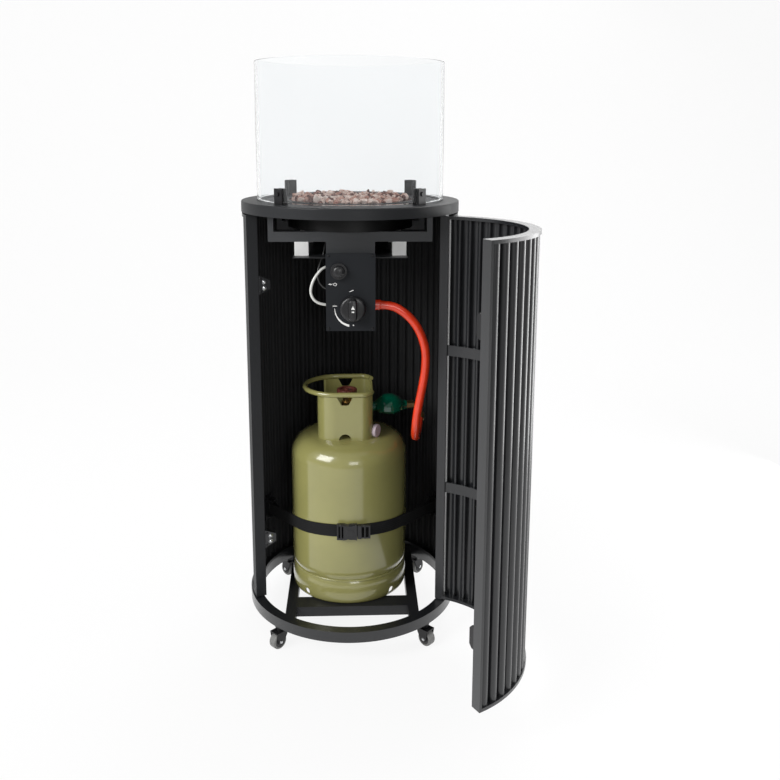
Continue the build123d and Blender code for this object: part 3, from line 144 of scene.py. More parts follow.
def flutedCoat(name, outside, insideShadeTone):
    # powder coat on the outer side of the fluted sheet, a thin dull coat on the side towards the axis; that
    # side also gets a base tone of its own, set to how dim the inside of the shell looks: painted shade, not
    # a second paint
    mat = powderCoat(name, outside, 0.45, 0.9)
    tree = mat.node_tree
    shader = tree.nodes["Principled BSDF"]
    outer = shader.inputs["Base Color"].links[0].from_socket
    shape = tree.nodes.new("ShaderNodeNewGeometry")
    flat = tree.nodes.new("ShaderNodeVectorMath")
    flat.operation = "MULTIPLY"
    flat.inputs[1].default_value = (1, 1, 0)
    tree.links.new(shape.outputs["Position"], flat.inputs[0])
    radial = tree.nodes.new("ShaderNodeVectorMath")
    radial.operation = "NORMALIZE"
    tree.links.new(flat.outputs["Vector"], radial.inputs[0])
    facing = tree.nodes.new("ShaderNodeVectorMath")
    facing.operation = "DOT_PRODUCT"
    tree.links.new(shape.outputs["True Normal"], facing.inputs[0])
    tree.links.new(radial.outputs["Vector"], facing.inputs[1])
    span = tree.nodes.new("ShaderNodeMapRange")
    span.inputs["From Min"].default_value = -0.25
    span.inputs["From Max"].default_value = 0.05
    tree.links.new(facing.outputs["Value"], span.inputs["Value"])
    cloud = noiseNode(tree, 18.0, 3.0)
    # painted shade: this tone stands in for the light level inside the shell
    inner = rampNode(tree, cloud.outputs["Fac"], [(0.3, toned(insideShadeTone, 0.8)), (0.7, insideShadeTone)])
    blendNode = tree.nodes.new("ShaderNodeMix")
    blendNode.data_type = "RGBA"
    tree.links.new(span.outputs["Result"], blendNode.inputs["Factor"])
    tree.links.new(inner, blendNode.inputs["A"])
    tree.links.new(outer, blendNode.inputs["B"])
    tree.links.new(blendNode.outputs["Result"], shader.inputs["Base Color"])
    dull = tree.nodes.new("ShaderNodeMix")
    dull.inputs["A"].default_value = 0.85
    tree.links.new(span.outputs["Result"], dull.inputs["Factor"])
    tree.links.new(shader.inputs["Roughness"].links[0].from_socket, dull.inputs["B"])
    tree.links.new(dull.outputs["Result"], shader.inputs["Roughness"])
    film = tree.nodes.new("ShaderNodeMapRange")
    film.inputs["To Min"].default_value = 0.12
    film.inputs["To Max"].default_value = 0.9
    tree.links.new(span.outputs["Result"], film.inputs["Value"])
    tree.links.new(film.outputs["Result"], shader.inputs["Coat Weight"])
    return mat


def glossPaint(name, colour, rough):
    mat, tree, shader = startMaterial(name, rough)
    cloud = noiseNode(tree, 9.0, 5.0)
    colourFrom(tree, shader, cloud.outputs["Fac"], [(0.34, toned(colour, 0.9)), (0.62, colour)])
    wave = noiseNode(tree, 38.0, 3.0)
    roughnessFrom(tree, shader, cloud.outputs["Fac"], rough - 0.04, rough + 0.12)
    bumpFrom(tree, shader, wave.outputs["Fac"], 0.1, 0.0006)
    shader.inputs["Coat Weight"].default_value = 0.7
    shader.inputs["Coat Roughness"].default_value = 0.06
    return mat


def barePlate(name, colour, rough):
    mat, tree, shader = startMaterial(name, rough, 1.0)
    grain = noiseNode(tree, 120.0, 3.0, (1, 1, 40))     # fine turned lines
    colourFrom(tree, shader, grain.outputs["Fac"], [(0.3, toned(colour, 0.8)), (0.7, colour)])
    roughnessFrom(tree, shader, grain.outputs["Fac"], rough - 0.08, rough + 0.12)
    bumpFrom(tree, shader, grain.outputs["Fac"], 0.06, 0.0002)
    return mat


def mouldedPlastic(name, colour, rough, grain=0.25):
    mat, tree, shader = startMaterial(name, rough)
    pores = tree.nodes.new("ShaderNodeTexVoronoi")
    pores.inputs["Scale"].default_value = 1400.0
    tree.links.new(objectCoords(tree), pores.inputs["Vector"])
    cloud = noiseNode(tree, 30.0, 3.0)
    light = tuple(min(1, c * 1.15 + 0.002) for c in colour)
    colourFrom(tree, shader, cloud.outputs["Fac"], [(0.35, colour), (0.7, light)])
    roughnessFrom(tree, shader, cloud.outputs["Fac"], rough - 0.06, rough + 0.08)
    bumpFrom(tree, shader, pores.outputs["Distance"], grain, 0.0003)
    return mat


def hoseRubber(name, colour, rough):
    mat, tree, shader = startMaterial(name, rough)
    cloud = noiseNode(tree, 45.0, 4.0)
    colourFrom(tree, shader, cloud.outputs["Fac"], [(0.3, toned(colour, 0.82)), (0.65, colour)])
    roughnessFrom(tree, shader, cloud.outputs["Fac"], rough - 0.05, rough + 0.1)
    skin = noiseNode(tree, 500.0, 2.0)
    bumpFrom(tree, shader, skin.outputs["Fac"], 0.15, 0.0003)
    shader.inputs["Coat Weight"].default_value = 0.5
    shader.inputs["Coat Roughness"].default_value = 0.12
    return mat


def lavaStone(name, stops):
    mat, tree, shader = startMaterial(name, 0.95)
    blotch = noiseNode(tree, 60.0, 6.0, roughness=0.7)
    colourFrom(tree, shader, blotch.outputs["Fac"], stops)
    pits = tree.nodes.new("ShaderNodeTexVoronoi")
    pits.inputs["Scale"].default_value = 420.0
    tree.links.new(objectCoords(tree), pits.inputs["Vector"])
    first = bumpFrom(tree, shader, pits.outputs["Distance"], 0.8, 0.0015)
    fine = noiseNode(tree, 700.0, 5.0, roughness=0.75)
    bumpFrom(tree, shader, fine.outputs["Fac"], 0.6, 0.001, first)
    return mat


def clearGlass(name, colour):
    mat, tree, shader = startMaterial(name, 0.0)
    shader.inputs["Base Color"].default_value = (*colour, 1)
    shader.inputs["Transmission Weight"].default_value = 0.96
    shader.inputs["IOR"].default_value = 1.035
    smear = noiseNode(tree, 4.0, 3.0)
    roughnessFrom(tree, shader, smear.outputs["Fac"], 0.0, 0.008)
    return mat


def clearPlastic(name, colour):
    mat, tree, shader = startMaterial(name, 0.12)
    cloud = noiseNode(tree, 25.0, 2.0)
    colourFrom(tree, shader, cloud.outputs["Fac"], [(0.3, toned(colour, 0.6)), (0.7, colour)])
    bumpFrom(tree, shader, cloud.outputs["Fac"], 0.15, 0.001)
    shader.inputs["Transmission Weight"].default_value = 0.35
    shader.inputs["IOR"].default_value = 1.5
    shader.inputs["Coat Weight"].default_value = 0.6
    shader.inputs["Coat Roughness"].default_value = 0.05
    return mat


def wovenBand(name, colour):
    # flat polyester webbing: ribs along the band, crossed by fine picks
    mat, tree, shader = startMaterial(name, 0.75)
    plan = tree.nodes.new("ShaderNodeUVMap")
    plan.uv_map = "webbing"
    waves = []
    for direction, scale in (("Y", 82.7604), ("X", 143.2392)):
        wave = tree.nodes.new("ShaderNodeTexWave")
        wave.bands_direction = direction
        wave.inputs["Scale"].default_value = scale
        wave.inputs["Distortion"].default_value = 0.6
        tree.links.new(plan.outputs["UV"], wave.inputs["Vector"])
        waves.append(wave)
    cross = tree.nodes.new("ShaderNodeMath")
    cross.operation = "MULTIPLY"
    tree.links.new(waves[0].outputs["Fac"], cross.inputs[0])
    tree.links.new(waves[1].outputs["Fac"], cross.inputs[1])
    colourFrom(tree, shader, cross.outputs["Value"], [(0.0, colour), (1.0, toned(colour, 1.9))])
    bumpFrom(tree, shader, cross.outputs["Value"], 0.5, 0.0005)
    shader.inputs["Sheen Weight"].default_value = 0.03
    shader.inputs["Specular IOR Level"].default_value = 0.25
    return mat


anthracite = (0.013, 0.0138, 0.0158)
lavaTones = {
    "pale": [(0.3, (0.36, 0.18, 0.14)), (0.47, (0.72, 0.54, 0.47)), (0.66, (0.9, 0.8, 0.74))],
    "rose": [(0.32, (0.2, 0.06, 0.045)), (0.5, (0.5, 0.27, 0.21)), (0.68, (0.74, 0.56, 0.48))],
    "dark": [(0.3, (0.035, 0.015, 0.012)), (0.55, (0.15, 0.055, 0.04)), (0.75, (0.42, 0.25, 0.2))],
    "granulate": [(0.3, (0.02, 0.012, 0.01)), (0.55, (0.1, 0.045, 0.035)), (0.75, (0.3, 0.17, 0.13))],
}
finishes = {
    "anthracite": powderCoat("anthracitePowderCoat", anthracite, 0.42, 0.95),
    # painted light: the burner brackets get a lighter copy of the anthracite coat, brightened to show them
    # lit under the top ring
    "bracketLitCoat": powderCoat("bracketLitPowderCoat", (0.046, 0.048, 0.051), 0.45, 0.3),
    "ringCoat": powderCoat("ringPowderCoat", (0.0165, 0.0174, 0.0192), 0.58, 0.16),
    # the last colour is painted shade: the tone for the side of the sheet towards the axis
    "flutedSheet": flutedCoat("flutedPowderCoat", anthracite, (0.021, 0.0218, 0.0225)),
    "innerFrame": powderCoat("innerFrameCoat", (0.014, 0.0145, 0.016), 0.5, 0.35),
    "panelBlack": powderCoat("panelPowderCoat", (0.0115, 0.013, 0.0155), 0.6, 0.0, 0.6),
    "clipBlack": powderCoat("clipPaint", (0.008, 0.008, 0.009), 0.4, 0.3),
    "panSteel": barePlate("panSteel", (0.03, 0.03, 0.03), 0.45),
    "zincSteel": barePlate("zincSteel", (0.62, 0.63, 0.64), 0.22),
    "brass": barePlate("turnedBrass", (0.74, 0.52, 0.24), 0.3),
    "ceramic": mouldedPlastic("insulatingBlock", (0.68, 0.68, 0.67), 0.7, 0.4),
    "knobBlack": mouldedPlastic("knobPlastic", (0.012, 0.012, 0.013), 0.3),
    "buckleBlack": mouldedPlastic("bucklePlastic", (0.007, 0.007, 0.008), 0.32),
    "castorGrey": mouldedPlastic("castorTread", (0.17, 0.17, 0.165), 0.5),
    "castorHub": mouldedPlastic("castorHub", (0.014, 0.014, 0.014), 0.4),
    "capGrey": mouldedPlastic("capPlastic", (0.5, 0.42, 0.47), 0.4),
    "wheelRed": mouldedPlastic("handwheelPlastic", (0.11, 0.028, 0.02), 0.35),
    "printWhite": mouldedPlastic("panelPrint", (0.78, 0.78, 0.76), 0.6, 0.1),
    "leadWhite": hoseRubber("leadSilicone", (0.72, 0.72, 0.69), 0.3),
    "leadGrey": hoseRubber("leadSheath", (0.06, 0.06, 0.06), 0.4),
    "hoseRed": hoseRubber("hoseRubber", (0.8, 0.042, 0.008), 0.22),
    "olive": glossPaint("oliveEnamel", (0.285, 0.272, 0.096), 0.18),
    "webbing": wovenBand("strapWebbing", (0.0045, 0.0045, 0.005)),
    "lavaPale": lavaStone("lavaPale", lavaTones["pale"]),
    "lavaRose": lavaStone("lavaRose", lavaTones["rose"]),
    "lavaDark": lavaStone("lavaDark", lavaTones["dark"]),
    "granulate": lavaStone("lavaGranulate", lavaTones["granulate"]),
    "glass": clearGlass("toughGlass", (0.969, 0.979, 0.984)),
    "regulatorGreen": clearPlastic("regulatorPlastic", (0.0, 0.13, 0.07)),
}
print("finishes ready:", len(finishes))

# Nodes by finish. The nodes that a fuller piece replaces aren't here
finishNodes = {
    "anthracite": ["door_catches", "bottom_ring", "door_rails", "door_stiles", "door_mid_rails",
                   "door_panel"],
    "ringCoat": ["top_ring", "burner_plate", "shell_posts"],
    "bracketLitCoat": ["burner_brackets"],
    "flutedSheet": ["shell_panel"],
    "innerFrame": ["heat_shield", "control_housing", "strap_anchors", "shell_rails", "shell_spacers",
                   "base_frame"],
    "panelBlack": ["control_panel"],
    "clipBlack": ["glass_clips", "clip_screws", "door_strikes"] + [f"castor_fork_{i}" for i in range(1, 5)],
    "panSteel": ["burner_pan", "burner_tube"],
    "zincSteel": ["flame_probe", "knob_spindle", "door_pivots"],
    "brass": ["gas_feed_pipe", "gas_valve", "regulator_coupling", "regulator_outlet", "bottle_valve"],
    "ceramic": ["spacer_blocks"],
    "knobBlack": ["igniter_unit"],
    "castorGrey": [f"castor_wheel_{i}" for i in range(1, 5)],
    "capGrey": ["outlet_cap"],
    "wheelRed": ["valve_handwheel"],
    "olive": ["bottle_body", "bottle_collar", "bottle_handle"],
    "granulate": ["lava_bed"],
    "regulatorGreen": ["regulator_body"],
}
for finishName, nodeNames in finishNodes.items():
    for nodeName in nodeNames:
        mesh = nodes[nodeName].data
        mesh.materials.clear()
        mesh.materials.append(finishes[finishName])


# The hose and the two leads
def cordCurve(name, points, radius, finish):
    curve = bpy.data.curves.new(name, "CURVE")
    curve.dimensions = "3D"
    curve.bevel_depth = radius
    curve.bevel_resolution = 6
    curve.resolution_u = 12
    curve.use_fill_caps = True
    line = curve.splines.new("NURBS")
    line.points.add(len(points) - 1)
    for spot, place in zip(line.points, points):
        spot.co = (*place, 1)
    line.order_u = 3
    line.use_endpoint_u = True
    piece = bpy.data.objects.new(name, curve)
    scene.collection.objects.link(piece)
    curve.materials.append(finishes[finish])
    return piece


gasHose = {
    "radius": 0.008,
    "length": 0.425,
    "points": [
        (0.046, -0.114, 0.664), (0.072, -0.114, 0.664), (0.096, -0.115, 0.6515), (0.116, -0.114, 0.631),
        (0.130, -0.111, 0.605), (0.138, -0.106, 0.575), (0.138, -0.103, 0.543), (0.134, -0.100, 0.511),
        (0.128, -0.098, 0.479), (0.123, -0.095, 0.447), (0.121, -0.087, 0.418), (0.122, -0.066, 0.3965),
        (0.125, -0.044, 0.386), (0.130, -0.020, 0.386), (0.134, 0.003, 0.397), (0.137, 0.018, 0.410),
    ],
}
hose = cordCurve("gasHose", gasHose["points"], gasHose["radius"], "hoseRed")
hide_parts("gas_hose")
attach(hose, "cabinet")

ignitionLead = {
    "radius": 0.0025,
    "length": 0.126,
    "points": [
        (-0.030, -0.109, 0.735), (-0.046, -0.109, 0.735), (-0.060, -0.111, 0.721), (-0.070, -0.113, 0.704),
        (-0.073, -0.114, 0.686), (-0.065, -0.113, 0.670), (-0.047, -0.110, 0.663), (-0.030, -0.110, 0.663),
    ],
}
whiteLead = cordCurve("ignitionLead", ignitionLead["points"], ignitionLead["radius"], "leadWhite")
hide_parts("igniter_lead")
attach(whiteLead, "cabinet")

probeLead = {
    "radius": 0.00125,
    "length": 0.1227,
    "points": [
        (-0.030, -0.104, 0.690), (-0.043, -0.104, 0.690), (-0.054, -0.104, 0.698), (-0.060, -0.103, 0.710),
        (-0.060, -0.101, 0.724), (-0.056, -0.098, 0.737), (-0.051, -0.094, 0.749), (-0.048, -0.089, 0.761),
        (-0.046, -0.080, 0.774), (-0.046, -0.080, 0.787),
    ],
}
greyLead = cordCurve("probeLead", probeLead["points"], probeLead["radius"], "leadGrey")
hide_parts("thermocouple_lead")
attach(greyLead, "cabinet")
print("hose and leads in place")

# Mesh helpers
def pieceFromMesh(name, bm, finishNames, smooth=True, sharp=38):
    mesh = bpy.data.meshes.new(name)
    bmesh.ops.recalc_face_normals(bm, faces=bm.faces)
    bm.to_mesh(mesh)
    bm.free()
    for finishName in finishNames:
        mesh.materials.append(finishes[finishName])
    piece = bpy.data.objects.new(name, mesh)
    scene.collection.objects.link(piece)
    if smooth:
        mesh.shade_smooth()
        mesh.set_sharp_from_angle(angle=math.radians(sharp))
    return piece


def roundEdges(piece, width):
    bevel = piece.modifiers.new("roundedEdges", "BEVEL")
    bevel.width = width
    bevel.segments = 2
    bevel.limit_method = "ANGLE"
    bevel.angle_limit = math.radians(30)
    bevel.harden_normals = False
    return piece


def latheInto(bm, profile, origin, direction=(0, 0, 1), steps=96, slot=0, closed=True):
    # profile: (radius, distance along the axis) pairs, turned round the axis through origin
    turn = Vector(direction).normalized().to_track_quat("Z", "Y").to_matrix()
    rings = []
    for radius, along in profile:
        ring = []
        for k in range(steps):
            a = 2 * math.pi * k / steps
            spot = turn @ Vector((radius * math.cos(a), radius * math.sin(a), along))
            ring.append(bm.verts.new(Vector(origin) + spot))
        rings.append(ring)
    count = len(rings)
    for i in range(count if closed else count - 1):
        low, high = rings[i], rings[(i + 1) % count]
        for k in range(steps):
            n = (k + 1) % steps
            face = bm.faces.new((low[k], low[n], high[n], high[k]))
            face.material_index = slot
    if not closed:
        for ring in (rings[0], rings[-1]):
            bm.faces.new(ring).material_index = slot


def placePiece(piece, body, replaced=None):
    if replaced:
        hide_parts(replaced)
    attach(piece, body)


def slabInto(bm, outline, front, back):
    # outline: (x, z) pairs; the slab runs in y from front to back
    near = [bm.verts.new((x, front, z)) for x, z in outline]
    far = [bm.verts.new((x, back, z)) for x, z in outline]
    bm.faces.new(near)
    bm.faces.new(far[::-1])
    for k in range(len(outline)):
        n = (k + 1) % len(outline)
        bm.faces.new((near[n], near[k], far[k], far[n]))


def roundedBoxOutline(x0, x1, z0, z1, r, steps):
    corners = [(x1 - r, z1 - r, 0), (x0 + r, z1 - r, 90), (x0 + r, z0 + r, 180), (x1 - r, z0 + r, 270)]
    outline = []
    for cx, cz, start in corners:
        for k in range(steps + 1):
            a = math.radians(start + 90 * k / steps)
            outline.append((cx + r * math.cos(a), cz + r * math.sin(a)))
    return outline


def plateInto(bm, left, right, low, high, r, front, back, steps=3):
    slabInto(bm, roundedBoxOutline(left, right, low, high, r, steps), front, back)


# Lava stones
lavaStones = {
    "seed": 11,
    "reach": 0.106,       # how far from the axis a stone's middle may lie
    "edge": 0.1145,       # and how far any of its corners may
    "bed": 0.8452,
    "top": 0.8628,
    "rows": [(0.0, 1), (0.012, 6), (0.024, 12), (0.036, 18), (0.048, 25), (0.06, 31),
             (0.072, 38), (0.084, 44), (0.096, 50), (0.1055, 54)],
    "size": 0.0078,
    "chips": 220,
    "chipReach": 0.111,
    "chipSize": (0.003, 0.0065),
}


def brokenStone(bm, place, size, height, slot, rng):
    made = bmesh.ops.create_icosphere(bm, subdivisions=2, radius=1.0)
    stretch = Vector((size * rng.uniform(0.85, 1.35), size * rng.uniform(0.65, 1.05), height))
    turn = Matrix.Rotation(rng.uniform(0, 6.28), 3, "Z") @ Matrix.Rotation(rng.uniform(-0.6, 0.6), 3, "X")
    shift = Vector((rng.uniform(-50, 50), rng.uniform(-50, 50), rng.uniform(-50, 50)))
    planes = [(Vector((rng.uniform(-1, 1), rng.uniform(-1, 1), rng.uniform(-0.4, 1))).normalized(),
               rng.uniform(0.42, 0.78)) for _ in range(10)]      # flat broken sides
    for vert in made["verts"]:
        spot = vert.co.copy()
        for normal, cut in planes:
            over = spot.dot(normal) - cut
            if over > 0:
                spot -= normal * over * 0.96
        spot *= 1 + 0.22 * noise.noise(spot * 1.9 + shift) + 0.16 * noise.noise(spot * 5.3 + shift)
        spot *= 1 + 0.09 * noise.noise(spot * 13 + shift)
        spot = turn @ Vector((spot.x * stretch.x, spot.y * stretch.y, spot.z * stretch.z)) + place
        spot.z = min(max(spot.z, lavaStones["bed"] - 0.0003), lavaStones["top"])
        flat = math.hypot(spot.x, spot.y)
        if flat > lavaStones["edge"]:
            spot.x *= lavaStones["edge"] / flat
            spot.y *= lavaStones["edge"] / flat
        vert.co = spot
    for face in {f for v in made["verts"] for f in v.link_faces}:
        face.material_index = slot


def layLavaStones():
    s = lavaStones
    rng = random.Random(s["seed"])
    bm = bmesh.new()
    for radius, count in s["rows"]:
        start = rng.uniform(0, 6.28)
        for k in range(count):
            a = start + 2 * math.pi * k / count + rng.uniform(-0.05, 0.05)
            r = min(radius + rng.uniform(-0.004, 0.004), s["reach"])
            size = s["size"] * rng.uniform(0.6, 1.3)
            height = size * rng.uniform(0.6, 0.95)
            place = Vector((r * math.cos(a), r * math.sin(a), s["bed"] + height * rng.uniform(0.35, 0.95)))
            brokenStone(bm, place, size, height, rng.choice([0, 0, 0, 1, 1, 2]), rng)
    for _ in range(s["chips"]):
        a = rng.uniform(0, 6.28)
        r = s["chipReach"] * math.sqrt(rng.uniform(0.02, 1))
        size = rng.uniform(*s["chipSize"])
        place = Vector((r * math.cos(a), r * math.sin(a), s["bed"] + rng.uniform(0.001, 0.009)))
        brokenStone(bm, place, size, size * 0.7, rng.choice([0, 1, 2, 2]), rng)
    stones = pieceFromMesh("lavaStones", bm, ["lavaPale", "lavaRose", "lavaDark"], sharp=24)
    placePiece(stones, "cabinet", "lava_rocks")


layLavaStones()
print("lava laid")

# Glass guard
glassGuard = {"outer": 0.175, "wall": 0.006, "low": 0.8483, "high": 1.0963, "arris": 0.0011}


def glassTube():
    g = glassGuard
    inner, outer = g["outer"] - g["wall"], g["outer"]
    low, high, e = g["low"], g["high"], g["arris"]
    profile = [(inner, low + e), (inner + e, low), (outer - e, low), (outer, low + e),
               (outer, high - e), (outer - e * 0.3, high - e * 0.3), (outer - e, high),
               (inner + e, high), (inner + e * 0.3, high - e * 0.3), (inner, high - e)]
    bm = bmesh.new()
    latheInto(bm, profile, (0, 0, 0), steps=192)
    tubePiece = pieceFromMesh("glassTube", bm, ["glass"], sharp=25)
    placePiece(tubePiece, "glass", "glass_guard")


glassTube()

# Control knob
gasKnob = {"x": 0.004, "z": 0.6635, "back": -0.146, "discRadius": 0.023, "discDepth": 0.009,
           "gripWidth": 0.015, "gripDepth": 0.013, "bore": 0.0042,
           "pointer": [(-0.0032, 0.0025), (0.0032, 0.0025), (0.0, 0.0092)],
           "dash": (0.0022, -0.003, -0.0008), "printDepth": 0.0006}


def knobShape():
    k = gasKnob
    bm = bmesh.new()
    front = k["discDepth"]
    profile = [(k["bore"], 0.0), (k["discRadius"], 0.0), (k["discRadius"], front * 0.5),
               (k["discRadius"] * 0.985, front * 0.68), (k["discRadius"] * 0.93, front * 0.86),
               (k["discRadius"] * 0.84, front * 0.97), (k["discRadius"] * 0.6, front), (k["bore"], front)]
    latheInto(bm, profile, (k["x"], k["back"], k["z"]), (0, -1, 0))
    half = k["gripWidth"] / 2
    reach = k["discRadius"] - 0.002
    rows = [(0.0, 1.0), (0.35, 0.97), (0.75, 0.9), (0.93, 0.82), (1.0, 0.66)]
    loops = []
    for depth, share in rows:
        y = k["back"] - front + 0.001 - depth * (k["gripDepth"] + 0.001)
        outline = roundedBoxOutline(-half * share, half * share, -reach * (0.4 + 0.6 * share),
                                    reach * (0.4 + 0.6 * share), half * share * 0.96, 8)
        loops.append([bm.verts.new((k["x"] + x, y, k["z"] + z)) for x, z in outline])
    for low, high in zip(loops, loops[1:]):
        for i in range(len(low)):
            n = (i + 1) % len(low)
            bm.faces.new((low[i], low[n], high[n], high[i]))
    bm.faces.new(loops[-1])
    knobPiece = pieceFromMesh("gasKnobBody", bm, ["knobBlack"], sharp=32)
    placePiece(knobPiece, "knob", "gas_knob")
    bm = bmesh.new()          # white pointer and dash on the grip
    tip = k["back"] - front - k["gripDepth"] - 0.0001
    slabInto(bm, [(k["x"] + x, k["z"] + z) for x, z in k["pointer"]], tip, tip + k["printDepth"])
    halfDash, low, high = k["dash"]
    plateInto(bm, k["x"] - halfDash, k["x"] + halfDash, k["z"] + low, k["z"] + high, 0.0006,
              tip, tip + k["printDepth"])
    pointer = pieceFromMesh("knobPointer", bm, ["printWhite"])
    placePiece(pointer, "knob")


knobShape()

# Spark button: a low dome with a turned groove
sparkButton = {"x": -0.021, "z": 0.7305, "back": -0.1463, "radius": 0.011, "height": 0.0089,
               "stem": 0.003, "stemLength": 0.0148}


def buttonCap():
    b = sparkButton
    r, h = b["radius"], b["height"]
    profile = [(0.0003, -b["stemLength"]), (b["stem"], -b["stemLength"]), (b["stem"], -0.0001),
               (r * 0.9, 0.0), (r, 0.001), (r, h * 0.45), (r * 0.985, h * 0.58), (r * 0.93, h * 0.72),
               (r * 0.84, h * 0.81), (r * 0.8, h * 0.79), (r * 0.76, h * 0.83), (r * 0.6, h * 0.93),
               (r * 0.35, h * 0.985), (0.0003, h)]
    bm = bmesh.new()
    latheInto(bm, profile, (b["x"], b["back"], b["z"]), (0, -1, 0), 64, closed=False)
    cap = pieceFromMesh("sparkButton", bm, ["knobBlack"], sharp=50)
    placePiece(cap, "button", "ignition_button")


buttonCap()

# Printed marks on the panel
panelPrint = {
    "face": -0.1421,
    "depth": 0.0003,
    "middle": (0.004, 0.6635),             # of the knob
    "wedge": {"radius": 0.0325, "from": 181, "to": 258, "thin": 0.0008, "thick": 0.0042, "steps": 28},
    "dot": {"x": 0.0008, "z": -0.0312, "radius": 0.0012},
    "tick": {"left": -0.036, "right": -0.0285, "low": 0.0035, "high": 0.0048},
    "stroke": [(-0.0062, 0.0302), (-0.0056, 0.0292), (0.0012, 0.0322), (0.0006, 0.0334)],
    "spark": [(-0.0405, 0.7065), (-0.0355, 0.7085), (-0.0365, 0.7068), (-0.031, 0.7078), (-0.0362, 0.7048),
              (-0.0352, 0.7062)],
    "ring": {"x": -0.0275, "z": 0.7066, "inner": 0.0024, "outer": 0.0033, "squash": 0.8},
}


def printedMarks():
    p = panelPrint
    cx, cz = p["middle"]
    outlines = []
    wedge = p["wedge"]
    inner, outer = [], []
    for k in range(wedge["steps"] + 1):      # the flame-size wedge round the knob
        share = k / wedge["steps"]
        a = math.radians(wedge["from"] + (wedge["to"] - wedge["from"]) * share)
        half = (wedge["thin"] + (wedge["thick"] - wedge["thin"]) * share) / 2
        for edge, r in ((inner, wedge["radius"] - half), (outer, wedge["radius"] + half)):
            edge.append((cx + r * math.cos(a), cz + r * math.sin(a)))
    for k in range(wedge["steps"]):
        outlines.append([inner[k], outer[k], outer[k + 1], inner[k + 1]])
    dot, tick, ring = p["dot"], p["tick"], p["ring"]
    x, z, r = cx + dot["x"], cz + dot["z"], dot["radius"]
    turns = [2 * math.pi * k / 14 for k in range(14)]
    outlines.append([(x + r * math.cos(a), z + r * math.sin(a)) for a in turns])
    outlines.append(roundedBoxOutline(cx + tick["left"], cx + tick["right"],
                                      cz + tick["low"], cz + tick["high"], 0.0004, 2))
    outlines.append([(cx + x, cz + z) for x, z in p["stroke"]])
    outlines.append(p["spark"])
    steps = 18
    for k in range(steps):                   # small ring beside the spark
        a0, a1 = 2 * math.pi * k / steps, 2 * math.pi * (k + 1) / steps
        corners = ((ring["inner"], a0), (ring["outer"], a0), (ring["outer"], a1), (ring["inner"], a1))
        outlines.append([(ring["x"] + r * math.cos(a), ring["z"] + r * math.sin(a) * ring["squash"])
                         for r, a in corners])
    bm = bmesh.new()
    for outline in outlines:
        slabInto(bm, outline, p["face"], p["face"] + p["depth"])
    marks = pieceFromMesh("panelMarks", bm, ["printWhite"], smooth=False)
    placePiece(marks, "cabinet")


printedMarks()
print("control panel dressed")

# Webbing strap and its buckle
strapBand = {
    "bottle": (-0.006, 0.008),
    "radius": 0.1161,
    "level": 0.204,
    "tilt": 9.4,
    "width": 0.0246,
    "thickness": 0.0017,
    "barRadius": 0.1804,
    "barAngle": 111,
    "loop": 0.0052,
    "overlap": 0.042,
}


def strapPlan():
    # plan line of the band: sewn overlap, loop round one bar, across the bottle, loop round the other bar
    s = strapBand
    middle = Vector(s["bottle"])
    halves = []
    for side in (-1, 1):
        a = math.radians(side * s["barAngle"])
        bar = Vector((s["barRadius"] * math.sin(a), -s["barRadius"] * math.cos(a)))
        reach = bar - middle
        leaveTurn = math.atan2(reach.y, reach.x) - side * math.acos(s["radius"] / reach.length)
        leave = middle + s["radius"] * Vector((math.cos(leaveTurn), math.sin(leaveTurn)))
        run = leave - bar
        u = run.normalized()
        n = Vector((u.y, -u.x)) * -side
        share = s["overlap"] / run.length
        near = bar + n * s["loop"]
        back = bar - n * s["loop"]
        sewn = near.lerp(leave, share) - n * s["thickness"] * 1.1
        line = [sewn, back.lerp(sewn, 0.5), back + u * 0.004]
        turnFrom = math.atan2(-n.y, -n.x)
        sweep = math.pi if (n.x * u.y - n.y * u.x) < 0 else -math.pi
        for k in range(13):
            t = turnFrom - sweep * k / 12
            line.append(bar + s["loop"] * Vector((math.cos(t), math.sin(t))))
        line += [near.lerp(leave, k / 14) for k in range(1, 14)]
        halves.append((line, leaveTurn))
    (leftLine, leftTurn), (rightLine, rightTurn) = halves
    if leftTurn > 0:
        leftTurn -= 2 * math.pi
    wrap = []
    for k in range(97):
        a = leftTurn + (rightTurn - leftTurn) * k / 96
        wrap.append(middle + s["radius"] * Vector((math.cos(a), math.sin(a))))
    return leftLine + wrap + rightLine[::-1]


